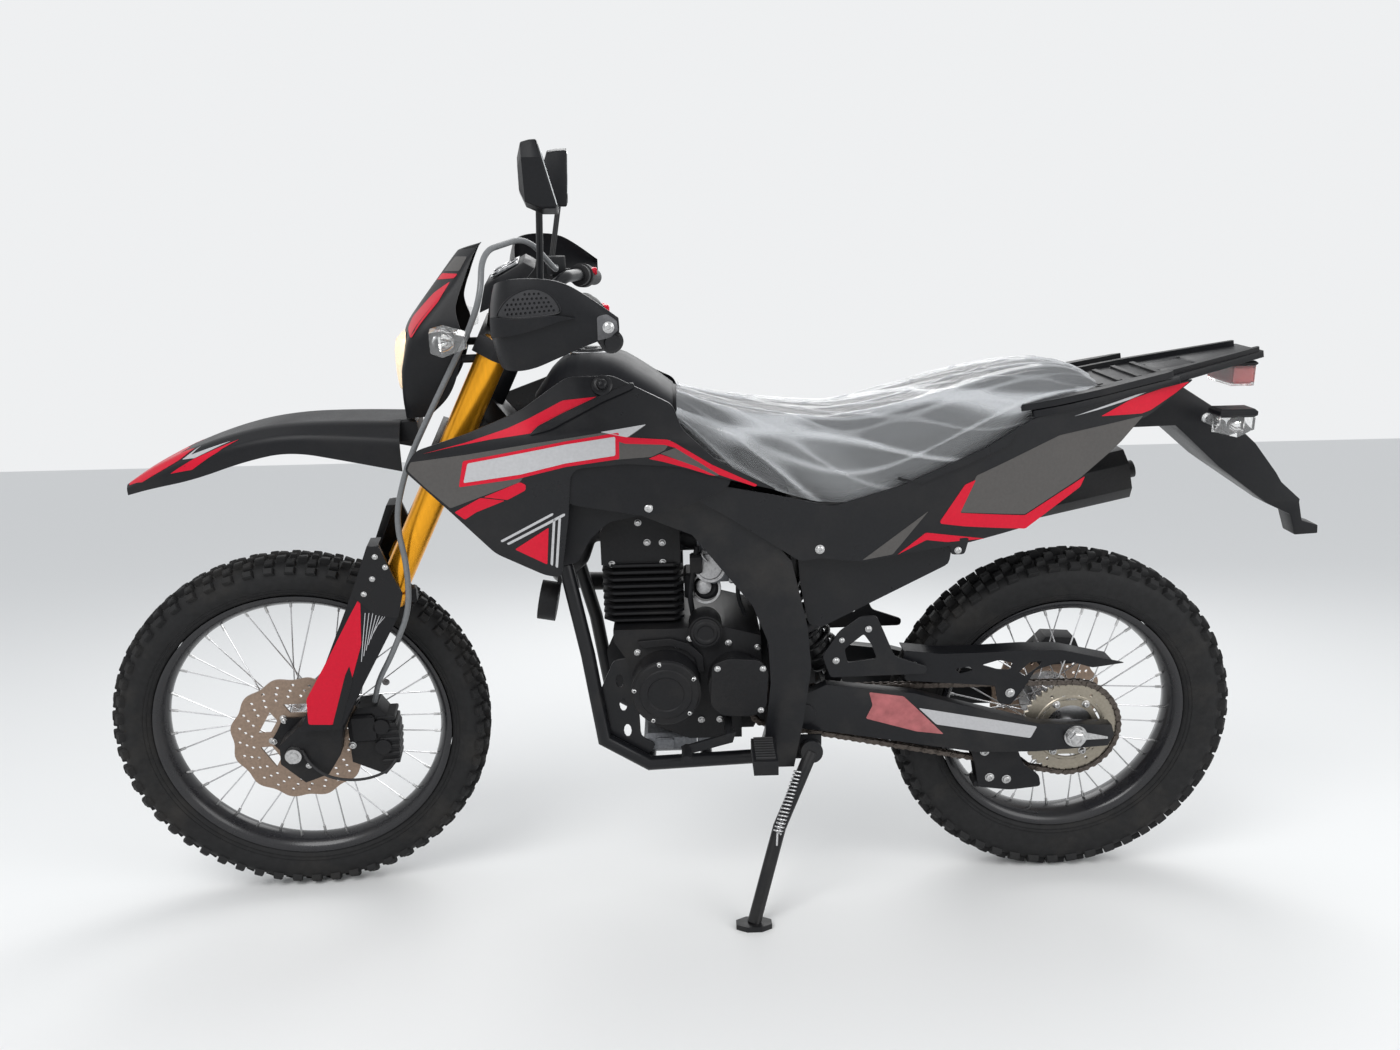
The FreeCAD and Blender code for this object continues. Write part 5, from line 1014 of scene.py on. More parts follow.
STRIPE_SURFACES = {"shroud": (shroud_side, 0.5), "shroud_over": (shroud_side, 0.9),
                   "shroud_top": (shroud_side, 1.3), "cover": (cover_side, 0.4),
                   "cover_over": (cover_side, 0.7)}


class MOTO_OT_panels(bpy.types.Operator):
    """Makes the shrouds, knee trims and side covers with their stripes"""

    bl_idname = "moto.panels"
    bl_label = "Body panels"

    def execute(self, context):
        for hand, word in ((-1, "left"), (1, "right")):
            self.shroud(hand, word)
            self.side_cover(hand, word)
            for name, rows in PANEL_STRIPES.items():
                surface, lift = STRIPE_SURFACES[name]
                if hand > 0 and name.startswith("cover"):
                    rows = [row for row in rows if np.mean(np.array(row[1])[:, 1]) > 850]
                place = side_place(surface, hand, lift)
                films(name + "_", rows, place, "chassis", 2.5, 7.0, "_" + word)
        self.knee_trims()
        return {"FINISHED"}

    def shroud(self, hand, word):
        """The outer panel beside the tank, with its raised strip and a round knob on top."""
        panel = skin(rounded(SHROUD_SIDE, 10, 4), side_place(shroud_side, hand), 4.5, (), 9.0)
        strip = ((486, 931), (519, 938), (603, 976), (648, 992), (656, 996), (652, 1003), (600, 986),
                 (540, 962), (500, 944))
        handle = skin(rounded(strip, 4, 3), side_place(shroud_side, hand, 5.0), 6.0, (), 6.0)
        knob = boss([(0, 0.01), (0, 17), (3, 17), (5, 14), (5, 9), (8, 9), (11, 7), (12, 4), (12, 0.01)],
                    (603, hand * float(shroud_side(603, 1000) + 3), 1000), (0, hand, 0.5), 28)
        piece("shroud_panel_" + word, [panel, handle, knob], "chassis", "panel_plastic", 40,
              rim=1.5, node="shroud_" + word)

    def side_cover(self, hand, word):
        """A side cover with a near-black strip painted as the shade of its groove, a peg and an inner skirt;
        the right one stops above the silencer.
        """
        edge = rounded(COVER_SIDE, 8, 4)
        if hand > 0:
            limit = 712 + (edge[:, 0] - 1098) * 0.2152
            edge[:, 1] = np.where(edge[:, 0] > 1098, np.maximum(edge[:, 1], limit), edge[:, 1])
        shape = skin(edge, side_place(cover_side, hand), 4.5, (), 11.0)
        peg = rod((850, hand * 146.3, 756), (850, hand * 152, 756), 8)
        skirt = ((925, 700), (1196, 716), (1190, 668), (968, 556), (945, 562), (930, 640))
        inner = skin(rounded(skirt, 8, 3), flat_place(122, hand), 3.0, (), 14.0)
        piece("side_cover_panel_" + word, [shape, peg, inner], "chassis", "panel_plastic",
              40, rim=1.5, node="side_cover_" + word)
        # A thin near-black strip set a little proud of the cover along its groove: painted shade where the
        # groove would be dark.
        groove_shade = ((1089, 829), (1132, 817), (1211, 847), (1282, 878), (1297, 911), (1291, 912), (1276, 882),
                  (1209, 852), (1132, 822), (1091, 834))
        line = skin(groove_shade, side_place(cover_side, hand, 0.25), 1.5, (), 8.0)
        piece("side_cover_groove_shade_" + word, line, "chassis", "black_film")

    def knee_trims(self):
        """Spears along the tank's foot, each on a peg, with a flat skirt behind."""
        skirt = ((440, 800), (484, 856), (560, 872), (660, 866), (726, 806), (668, 782), (604, 770),
                 (572, 742), (548, 700), (519, 694), (470, 735))
        trims = []
        for hand in (-1, 1):
            trims.append(skin(rounded(SPEAR_SIDE, 9, 4), side_place(spear_side, hand), 5.0, (), 8.0))
            trims.append(rod((712, hand * 146.3, 812), (712, hand * 172, 812), 8))
            trims.append(skin(rounded(skirt, 6, 3), flat_place(158, hand), 3.0, (), 12.0))
        piece("knee_trim_spears", trims, "chassis", "satin_plastic", 40, rim=1.5,
              node="knee_trims")


# Tank and seat


TANK_ROWS = (
    # x, underside, side edge, crown, half width low, half width high
    (478, 885, 930, 968, 62, 44), (525, 876, 980, 1034, 112, 76), (612, 862, 985, 1038, 140, 96),
    (670, 858, 960, 1003, 136, 98), (716, 858, 930, 968, 116, 92),
)
SEAT_ROWS = (
    (716.3, 918, 942, 968, 92, 62), (800, 844, 905, 945, 116, 78), (900, 798, 880, 930, 134, 92),
    (1000, 777, 870, 922, 143, 104), (1110, 809, 895, 946, 144, 108), (1235, 862, 930, 980, 138, 104),
    (1330, 920, 955, 997, 120, 92), (1400, 948, 962, 996, 100, 76), (1448, 956, 960, 968, 82, 60),
)


def six_corners(low, edge, crown, wide, narrow):
    """Underside, two side edges and a crown that swells in the middle."""
    return [(-wide + 12, low), (wide - 12, low), (wide + 1, edge), (narrow + 4, crown + 1), (0, crown + 4),
            (-narrow - 4, crown + 1), (-wide - 1, edge)]


def seat_wrap(u, v):
    """Outside of the seat at x = u, from the left foot (v = -1) over the crown to the right foot (v = 1)."""
    low, edge, crown, wide, narrow = read_rows(SEAT_ROWS, u)
    a = np.abs(v)
    top, bend, foot = (np.clip((a - start) / run, 0, 1)
                       for start, run in ((0, 0.42), (0.42, 0.28), (0.70, 0.30)))
    y = top * (narrow - 6) + bend * (wide - narrow + 8) - foot ** 2 * 9
    z = crown + 4 - 5 * top ** 2 - (crown - edge - 4) * bend ** 1.4 - foot * (edge - low - 3)
    return np.stack([u, np.sign(v) * y, z], -1)


def folds(x, y):
    """Height of creases: a sharp ridge wherever a slowly wandering wave crosses zero, over soft swells."""
    first = np.sin(x / 125 + 1.3 * np.sin(y / 43 + 0.6)) + np.sin(y / 21 + 1.2 * np.sin(x / 96) + x / 210)
    second = np.sin(x / 170 - y / 38 + 2.2) + 0.9 * np.sin(y / 15 - x / 190 + 1.2 * np.sin(x / 87 + 1.9))
    third = np.sin(x / 43 + y / 71 + 1.4 * np.sin(y / 49)) + np.sin(y / 10 + x / 80 + 0.8)
    return (2.3 * np.exp(-(first / 0.26) ** 2) + 2.0 * np.exp(-(second / 0.20) ** 2)
            + 1.3 * np.exp(-(third / 0.22) ** 2) + 0.5 * np.sin(x / 64 + y / 30))


class MOTO_OT_seat(bpy.types.Operator):
    """Makes the padded seat and the creased clear film it is wrapped in"""

    bl_idname = "moto.seat"
    bl_label = "Tank and seat"

    def execute(self, context):
        seat = piece("seat_padded", lofted(SEAT_ROWS, six_corners, 90, 3), "chassis", "seat_vinyl",
                     50, node="seat")
        u, v = np.meshgrid(np.linspace(722, 1442, 260), np.linspace(-1.0, 1.0, 150), indexing="ij")
        base = seat_wrap(u.ravel(), v.ravel()).reshape(u.shape + (3,))
        along, across = np.gradient(base, axis=0), np.gradient(base, axis=1)
        out = np.cross(along, across)
        out /= np.linalg.norm(out, axis=2)[..., None]
        out *= np.sign(out[..., 1:2] * base[..., 1:2] + 30 * out[..., 2:3])
        height = folds(base[..., 0], v * 190 + 0.12 * base[..., 0])[..., None]
        film = two_skins(base + out * (2.6 + height), base + out * (2.2 + height))
        wrap = piece("seat_film", film, "chassis", "clear_film", 60)
        # The opacity of the film's pale colour rises on the tall ridges of its folds. This is partly the
        # film's own haze and partly painted reflection, where the creases catch the light.
        tall = np.clip(height.ravel() / 3.2, 0, 1)
        layer = wrap.data.attributes.new("crease", "FLOAT", "POINT")
        layer.data.foreach_set("value", np.concatenate([tall, tall]))
        tree = FINISHES["clear_film"].node_tree
        shader = tree.nodes["Principled BSDF"]
        crease = add_node(tree, "ShaderNodeAttribute", attribute_name="crease")
        spread = add_node(tree, "ShaderNodeMapRange", {"From Min": 0.05, "To Min": 0.085, "To Max": 0.36},
                          {"Value": crease.outputs["Fac"]})
        set_node(tree, shader, feeds={"Alpha": spread.outputs["Result"]})
        piece("tank_shell", lofted(TANK_ROWS, six_corners, 60, 3), "chassis", "tank_paint", 50,
              node="fuel_tank")
        cap = [(0, 0.01), (0, 36), (5, 36), (7, 33), (7, 27), (9, 26), (9, 12), (11, 11), (11, 0.01)]
        ring = [(0, 30), (0, 39), (4, 39), (5.5, 36), (4, 30), (0, 30)]
        cap, ring = (boss(profile, (575, 0, 1034), (0, 0, 1), 48) for profile in (cap, ring))
        piece("tank_cap_ring", ring, "chassis", "bright_steel")
        piece("tank_cap_lid", cap, "chassis", "satin_plastic", node="fuel_tank")
        return {"FINISHED"}


# Front end


MUDGUARD_ROWS = (
    # x, crown, side edge, half width at the edge, half width at the crown
    (-238, 836, 817, 14, 8), (-190, 866, 832, 38, 22), (-110, 903, 848, 58, 34), (-19, 931, 880, 72, 42),
    (60, 941, 896, 80, 48), (150, 940, 874, 84, 52), (241, 935, 850, 86, 54),
)


def mudguard_place(u, v, deep):
    """Front mudguard at x = u and v from -100 (left edge) over the crown to 100 (right edge)."""
    crown, edge, half, flat = read_rows(MUDGUARD_ROWS, u)
    shoulder = crown - (crown - edge) * 0.35

    def corner(a):
        y = np.where(a < 40, flat * a / 40, np.where(a < 80, flat + (half - flat) * (a - 40) / 40, half))
        z = np.where(a < 40, crown, np.where(a < 80, crown - (crown - shoulder) * (a - 40) / 40,
                                             shoulder - (shoulder - edge) * (a - 80) / 20))
        return y, z

    a = np.abs(v)
    samples = [corner(np.clip(np.abs(a + d), 0, 100)) for d in (-7, 0, 7)]
    y = sum(sample[0] for sample in samples) / 3
    z = sum(sample[1] for sample in samples) / 3
    turn = np.clip((a - 28) / 60, 0, 1) * math.radians(75)
    y = y * np.minimum(a / 7, 1)
    return np.stack([u, np.sign(v) * (y + np.sin(turn) * deep), z + np.cos(turn) * deep], -1)


MUDGUARD_STRIPES = (
    ("red", ((-233, -60), (-233, 60), (-205, 80), (-170, 72), (-135, 60), (-107, 40), (-138, 26), (-125, 0),
             (-138, -26), (-107, -40), (-135, -60), (-170, -72), (-205, -80))),
    ("red", ((-150, 84), (-110, 74), (-60, 66), (-26, 60), (-62, 76), (-110, 88))),
    ("red", ((-150, -84), (-110, -88), (-62, -76), (-26, -60), (-60, -66), (-110, -74))),
    ("silver", ((-128, 62), (-96, 40), (-112, 58), (-40, 58), (-104, 72))),
    ("silver", ((-128, -62), (-104, -72), (-40, -58), (-112, -58), (-96, -40))),
)
GUARD_ROWS = (
    # x, distance from the middle, lowest and highest of the hand guard
    (433, 205, 1112, 1160), (427, 290, 1098, 1182), (426, 362, 1086, 1196), (440, 408, 1082, 1206),
    (480, 424, 1084, 1210), (529, 427, 1104, 1206), (568, 427, 1119, 1182), (606, 426, 1131, 1153),
)
GUARD_LINE = softened(GUARD_ROWS, 3)
GUARD_ALONG = np.concatenate([[0], np.cumsum(np.linalg.norm(np.diff(GUARD_LINE[:, :2], axis=0), axis=1))])


def guard_place(hand):
    """Hand guard: u runs along its plan from the inner end, v from 0 at its foot to 100 at its top."""
    slope = np.gradient(GUARD_LINE[:, :2], axis=0)
    slope /= np.linalg.norm(slope, axis=1)[:, None]

    def place(u, v, deep):
        x, y, low, high = [np.interp(u, GUARD_ALONG, GUARD_LINE[:, k]) for k in range(4)]
        tx, ty = [np.interp(u, GUARD_ALONG, slope[:, k]) for k in (0, 1)]
        out = deep - 9 * (v / 50 - 1) ** 2
        return np.stack([x - ty * out, hand * (y + tx * out), low + (high - low) * v / 100], -1)
    return place


def guard_uv(points):
    """Side view points (x, z) on the guard's outer wing as (u, v)."""
    points = np.asarray(points, float)
    wing = GUARD_LINE[:, 0] > GUARD_LINE[:, 0].min() + 8
    wing &= np.arange(len(GUARD_LINE)) > len(GUARD_LINE) // 3
    u = np.interp(points[:, 0], GUARD_LINE[wing, 0], GUARD_ALONG[wing])
    low, high = [np.interp(u, GUARD_ALONG, GUARD_LINE[:, k]) for k in (2, 3)]
    return np.stack([u, (points[:, 1] - low) / (high - low) * 100], -1)


OVAL = (
    (443, 1163), (456, 1182), (475, 1193), (491, 1196), (505, 1193), (517, 1185), (526, 1171), (525, 1163),
    (500, 1160), (443, 1158))
SWOOSH = ((436, 1157), (470, 1158), (525, 1161), (548, 1156), (505, 1146), (472, 1137), (436, 1128))
END_PLATE = ((576, 1156), (591, 1159), (603, 1150), (604, 1137), (595, 1127), (576, 1123))


COWL_ROWS = (
    # height, front, rear edge, half width
    (939, 246, 290, 58), (985, 247, 340, 92), (1046, 253, 362, 104), (1092, 258, 372, 105),
    (1130, 288, 380, 92), (1176, 326, 388, 72), (1216, 359, 396, 54), (1226, 372, 398, 50),
)
COWL_EDGE = (
    (-98, 944), (-100, 985), (-100, 1046), (-96, 1092), (-84, 1130), (-78, 1176), (-76, 1224), (-40, 1219),
    (0, 1214), (40, 1219), (76, 1224), (78, 1176), (84, 1130), (96, 1092), (100, 1046), (100, 985),
    (98, 944), (0, 939))
COWL_STRIPES = (
    ("red", ((58, 1084), (60, 1140), (52, 1170), (34, 1150), (22, 1112), (30, 1094))),
    ("red", ((58, 1182), (56, 1175), (10, 1168), (14, 1179))),
    ("grey", ((56, 1208), (58, 1186), (14, 1182), (20, 1206))),
)


def cowl_place(u, v, deep):
    """Lamp cowl: u from -100 to 100 wraps from the left flank over the flat front, v is the height."""
    front, rear, half = read_rows(COWL_ROWS, v)
    bow = np.interp(v, (1030, 1100, 1170, 1226), (8, 26, 34, 26))

    def corner(a):
        flat = np.clip(a / 60, 0, 1)
        flank = np.clip((a - 60) / 40, 0, 1)
        return front + bow * flat ** 1.5 + (rear - front - bow) * flank, half * (0.94 * flat + 0.06 * flank)

    a = np.abs(u)
    samples = [corner(np.abs(a + d)) for d in (-5, 0, 5)]
    x = sum(sample[0] for sample in samples) / 3
    y = sum(sample[1] for sample in samples) / 3 * np.minimum(a / 5, 1)
    turn = np.clip((a - 45) / 30, 0, 1) * math.pi / 2
    return np.stack([x - np.cos(turn) * deep, np.sign(u) * (y + np.sin(turn) * deep), v + 0 * a], -1)


def swelled(loop, centre, profile):
    """Rings of one outline (y, z), each with its own scale and x, closed at both ends."""
    n = len(loop)
    rings = [np.insert(centre + (loop - centre) * scale, 0, x, axis=1) for scale, x in profile]
    faces = np.concatenate([grid_faces(len(profile), n, False, True), fan(n), fan(n, (len(profile) - 1) * n)])
    return np.concatenate(rings), faces


class MOTO_OT_front(bpy.types.Operator):
    """Makes the front mudguard, the lamp cowl, the hand guards and the mirrors"""

    bl_idname = "moto.front"
    bl_label = "Front end"

    def execute(self, context):
        beak = sheet_over(mudguard_place, np.linspace(-238, 241, 90), np.linspace(-100, 100, 61), 4.0)
        neck = block((222, -42, 895), (268, 42, 936), 4)
        piece("front_mudguard_beak", [beak, neck], "steering", "satin_plastic", 40,
              node="front_mudguard")
        films("mudguard_", MUDGUARD_STRIPES, lifted(mudguard_place, 0.5), "steering", 2, 6.0)
        self.hand_guards()
        self.cowl()
        self.mirrors()
        self.fork_guards()
        self.front_brake()
        self.dash()
        return {"FINISHED"}

    def hand_guards(self):
        """Shells with a meshed oval, its border, a crease below it and a bolted plate at the end."""
        shells, insets, plates, bolts, swooshes = [], [], [], [], []
        for hand in (-1, 1):
            place = guard_place(hand)
            shells.append(sheet_over(place, np.linspace(0, GUARD_ALONG[-1], 90), np.linspace(0, 100, 31),
                                     4.5))
            oval = softened(guard_uv(OVAL), 2, True)
            holes = []
            low = oval.min(0)
            for j in range(7):
                for k in range(14):
                    centre = np.array([low[0] + 4 + 6.4 * (k + 0.5 * (j % 2)), low[1] + 5 + 5.0 * j])
                    ring = centre + polar(1.0, np.arange(6) * math.pi / 3) * (1.9, 1.6)
                    if inside(ring, oval * 0.94 + oval.mean(0) * 0.06).all():
                        holes.append(ring)
            insets.append(skin(oval, lifted(place, 1.4), 1.0, holes, 6.0))
            border = oval.mean(0) + (oval - oval.mean(0)) * 1.05
            shells.append(tube(place(border[:, 0], border[:, 1], 1.0), 1.3, 6, True))
            swooshes.append(skin(rounded(guard_uv(SWOOSH), 3, 3), lifted(place, 7.0), 9.0, (), 5.0))
            plates.append(skin(rounded(guard_uv(END_PLATE), 4, 4), lifted(place, 1.2), 3.0, (), 5.0))
            bolts.append(screw(6.5, 5, place(*guard_uv([(591, 1142)]).T, 1.2)[0], (0, hand, 0)))
        piece("handguard_shells", shells, "steering", "satin_plastic", 45, node="handguards")
        piece("handguard_insets", insets, "steering", "mesh_black")
        piece("handguard_creases", swooshes, "steering", "satin_plastic", 60, rim=4.0)
        piece("handguard_end_plates", plates, "steering", "bracket_grey")
        piece("handguard_bolts", bolts, "steering", "zinc_bolt")

    def cowl(self):
        """The lamp cowl with its stripes, the lit lamp behind its lens and the bulbs of the indicators."""
        opening = np.array([(-66, 982), (-74, 1040), (-56, 1086), (56, 1086), (74, 1040), (66, 982)], float)
        half = read_rows(COWL_ROWS, opening[:, 1])[2]
        hole = np.stack([opening[:, 0] / half / 0.94 * 60, opening[:, 1]], -1)
        shell = skin(rounded(COWL_EDGE, 8, 4), cowl_place, 4.5, [rounded(hole, 12, 4)], 7.0)
        arms = [rod((350, hand * 88, 1046), (392, hand * 88, 1046), 7) for hand in (-1, 1)]
        piece("headlamp_cowl", [shell] + arms, "steering", "satin_plastic", 45, rim=1.2,
              node="headlamp_mask")
        stripes = [(kind, np.array(row) * (-hand, 1)) for hand in (-1, 1) for kind, row in COWL_STRIPES]
        films("cowl_", stripes, lifted(cowl_place, 0.5), "steering", 3, 6.0)
        loop = rounded(opening * (0.96, 1), 14, 4)
        centre = np.array([0, 1034.0])
        layers = (
            # name, finish, slot, then scale and x of each ring
            ("lens", "lamp_lit", "clear_lens", ((0.02, 240), (0.5, 242), (0.8, 247), (0.95, 256), (0.97, 264),
                                                (0.92, 264), (0.5, 246), (0.02, 242))),
            ("shell", "rough_plastic", "black_plastic", ((0.02, 301), (0.45, 298), (0.83, 286), (1.04, 266),
                                                         (1.07, 270), (0.85, 291), (0.46, 303), (0.02, 305))),
            ("bowl", "lamp_glow", "clear_lens", ((0.02, 292), (0.4, 287), (0.75, 276), (0.97, 264),
                                                 (1.0, 266), (0.8, 282), (0.45, 294), (0.02, 298))),
        )
        for name, kind, slot, profile in layers:
            piece("headlamp_" + name, swelled(loop, centre, profile), "steering", kind, node="headlamp")
        bowl = [(0, 0.01), (0, 7), (-6, 13), (-16, 17), (-16, 15), (-5, 11), (1, 5), (1, 0.01)]
        bowls = [boss(bowl, (352, hand * 149, 1084), (1, 0, 0), 20) for hand in (-1, 1)]
        piece("front_indicator_bowls", bowls, "steering", "reflector")

    def mirrors(self):
        """Heads from rings: a rim round the glass, a deep middle and a small ridge ahead of it."""
        heads, glasses, stems = [], [], []
        outline = np.array(((-30, -52), (30, -40), (34, 30), (14, 54), (-22, 50), (-38, 0)), float)
        for hand in (-1, 1):
            perch = along_bar(hand, 186) + np.array([-34, 0, 15.3])
            top = perch + (np.array([-26, -26, 132]) if hand < 0 else np.array([4, 26, 118]))
            perch = perch + np.array([-34 if hand < 0 else -22, 0, -4])
            centre = top + np.array([-4, hand * 18, 44])
            rings = []
            lean = 0.26 if hand < 0 else -0.05
            for x, scale, shift, share in ((20, 0.97, 0, 1.0), (17, 1.0, 0, 1.0), (2, 0.99, 0, 0.5),
                                           (-16, 0.86, -3, 0.1), (-23, 0.46, -6, 0.0)):
                slant = lean * share
                ring = outline * scale
                rings.append(np.stack([centre[0] + x - slant * ring[:, 1],
                                       centre[1] + hand * (0.9 * ring[:, 0] + shift),
                                       centre[2] + ring[:, 1] + (4 if x < -10 else 0)], -1))
            points = np.concatenate(rings)
            n = len(outline)
            heads.append((points, np.concatenate([grid_faces(5, n, False, True), fan(n), fan(n, 4 * n)])))
            glass = outline * 0.88
            ring = np.stack([centre[0] + 20.2 - lean * glass[:, 1], centre[1] + hand * 0.9 * glass[:, 0],
                             centre[2] + glass[:, 1]], -1)
            points = np.concatenate([ring, ring + [1.0, 0, 0]])
            glasses.append((points, np.concatenate([fan(n), fan(n, n), grid_faces(2, n, False, True)])))
            stems.append(pipe([perch, perch + (top - perch) * 0.25, top + [0, 0, 12]], 5.2, 3, 14))
            stems.append(rod(perch - [0, 0, 8], perch + [0, 0, 12], 9, 6))
            stems.append(rod(perch - [0, 0, 4], perch + [38, 0, -4], 6, 12))
        piece("mirror_heads", heads, "steering", "satin_plastic", 25, rim=2.5,
              node="mirrors")
        piece("mirror_stems", stems, "steering", "frame_paint", 40, node="mirrors")
        piece("mirror_glass", glasses, "steering", "mirror_glass")

    def front_brake(self):
        """Black centre of the front disc, the caliper's ribs, the sensor line and a box behind the fork."""
        star = polar(np.array([54, 44] * 6), np.arange(12) * math.pi / 6)
        carrier = skin(rounded(star, 8, 4), flat_place(66, -1), 4.0, [hole_at(0, 0, 21, 24)], 12)
        piece("front_disc_centre", carrier, "front_wheel", "engine_black")
        piece("front_disc_centre_bolts", screw_ring(5, 4, 48, -66.2), "front_wheel", "zinc_bolt")
        ribs = [block((146, -88, 292 + 15 * k), (183 - abs(k - 3) * 1.5, -36, 301 + 15 * k),
                      2) for k in range(7)]
        ribs += [block((100, -92, 342), (142, -84, 398), 5), rod((152, -92, 330), (152, -84, 330), 15, 20),
                 rod((152, -92, 372), (152, -84, 372), 15, 20), block((221, -106, 622), (245, -88, 650), 3)]
        piece("front_caliper_ribs", ribs, "steering", "engine_black", rim=1.0)
        line = pipe([(14, -119, 352), (26, -122, 322), (58, -124, 292), (112, -120, 280), (158, -106, 286),
                     (172, -90, 302)], 2.6, 4)
        piece("front_sensor_line", line, "steering", "grip_rubber", 60)

    def dash(self):
        """Dial glass and the rims of the dials on the instruments, and red thumb switches."""
        low, high = np.array((412.0, 1172.0)), np.array((462.0, 1196.0))
        slope = (high - low) / np.linalg.norm(high - low)
        out = np.array((-slope[1], slope[0]))

        def face(u, v, deep):
            spot = low + np.outer(u, slope) + out * (deep + 1.5)
            return np.stack([spot[:, 0], v, spot[:, 1]], -1)

        glass = skin(rounded(((2, -66), (2, 66), (54, 66), (54, -66)), 9, 4), face, 1.5, (), 12)
        piece("dial_glass", glass, "steering", "dial_glass")
        turn = np.linspace(0, TURN, 32, endpoint=False)
        rims = [tube(face(28 + r * np.cos(turn), side + r * np.sin(turn), 0.8), 1.0, 6, True)
                for side, r in ((-32, 23), (26, 23), (26, 9))]
        piece("dial_rims", rims, "steering", "bright_steel", 60)
        keys = []
        for hand in (-1, 1):
            for distance, size in ((142, 7), (158, 5)):
                centre = along_bar(hand, distance) + np.array([20, 0, 8])
                keys.append(block(centre - size, centre + size, 2))
        piece("thumb_switches", keys, "steering", "red_film")

    def fork_guards(self):
        """Red films on the fork guards, grey hatching beside them and the upper bracket plates."""
        reds, greys, blacks = [], [], []
        red = ((40, 462), (37, 412), (80, 408), (104, 462), (122, 494), (146, 560), (155, 652), (134, 618),
               (88, 540))
        spike = ((79, 409), (112, 504), (121, 521), (124, 494), (93, 409))
        bracket = ((140, 655), (178, 742), (196, 742), (226, 650), (214, 606), (176, 616))
        for hand in (-1, 1):
            outer = flat_place(135.2, hand)
            reds.append(skin(rounded(red, 4, 3), lifted(outer, 0.5), 0.5, (), 12))
            blacks.append(skin(rounded(spike, 2, 3), lifted(outer, 0.9), 0.4, (), 12))
            blacks.append(skin(rounded(bracket, 5, 3), lifted(outer, 2.5), 3.0, (), 12))
            for k in range(7):
                low = np.array([142 + 5.2 * k, 528 + 10.5 * k])
                run = np.array([17 + 1.2 * k, 92 - 11 * k])
                line = np.array([low, low + [1.3, 0], low + run + [1.3, 0], low + run])
                greys.append(skin(line, lifted(outer, 0.5), 0.4, (), 20))
        piece("fork_guard_red", reds, "steering", "red_film")
        piece("fork_guard_spikes", blacks, "steering", "black_film")
        piece("fork_guard_hatching", greys, "steering", "silver_film")


def along_bar(hand, distance):
    """A point on the grip's straight, measured from the bar's end."""
    middle = np.array([462.8, 0.0, 1101.3])
    end = middle + np.array([134, hand * 408.0, 16])
    inner = middle + np.array([98, hand * 204.0, 44])
    return end + (inner - end) / np.linalg.norm(inner - end) * distance


# Fixings


FIXINGS = (
    # group, x, z, distance from the middle, radius, height
    ("chassis", 671, 799, 181, 6.5, 4), ("chassis", 960, 711, 154, 6.5, 4),
    ("chassis", 1197, 702, 152, 5, 3.5),
    ("chassis", 1052, 550, 122, 5, 4), ("chassis", 995, 491, 122, 5, 4), ("chassis", 1005, 530, 122, 4, 3),
    ("steering", 136, 375, 86, 6, 5), ("steering", 96, 336, 86, 6, 5), ("steering", -8, 330, 116.5, 4.5, 4),
    ("steering", 22, 318, 116.5, 4.5, 4),
    ("steering", 188, 723, 137.7, 4, 3.5), ("steering", 203, 703, 137.7, 4, 3.5),
    ("steering", 179, 683, 137.7, 4, 3.5),
    ("steering", 162, 656, 137.7, 4, 3.5),
)


ENGINE_BOLTS = {
    # distance from the middle, then x and z of each bolt
    68: ((663, 705), (690, 704), (599, 666), (690, 667), (648, 742)),
    100: ((640, 508), (712, 520), (735, 532), (804, 522), (856, 512), (858, 392), (640, 400), (668, 375),
          (752, 372), (786, 372)),
}
GUARD_EDGE = (
    (1119, 501), (1185, 492), (1257, 492), (1339, 495), (1407, 493), (1523, 465), (1464, 457), (1413, 473),
    (1360, 455), (1339, 416), (1318, 387), (1295, 392), (1288, 427), (1192, 435), (1123, 442))
GUARD_SLOTS = (((1262, 468), (1292, 477), (1318, 471), (1314, 457), (1290, 459)),
               ((1330, 452), (1348, 470), (1372, 473), (1368, 464), (1342, 443)),
               ((1212, 462), (1240, 466), (1246, 458), (1222, 452)))
GUIDE_EDGE = (
    (1250, 301), (1340, 292), (1352, 262), (1384, 236), (1388, 214), (1330, 208), (1270, 216), (1262, 262))


def helix(start, end, radius, wire, turns, steps=14):
    """A coil: a circle of the given radius carried along a line, turns times round."""
    start, end = np.array(start, float), np.array(end, float)
    axis = (end - start) / np.linalg.norm(end - start)
    side = np.cross(axis, [0, 1, 0.3])
    side /= np.linalg.norm(side)
    other = np.cross(axis, side)
    t = np.linspace(0, 1, int(turns * steps) + 1)[:, None]
    a = TURN * turns * t
    return tube(start + (end - start) * t + radius * (np.cos(a) * side + np.sin(a) * other), wire, 8)


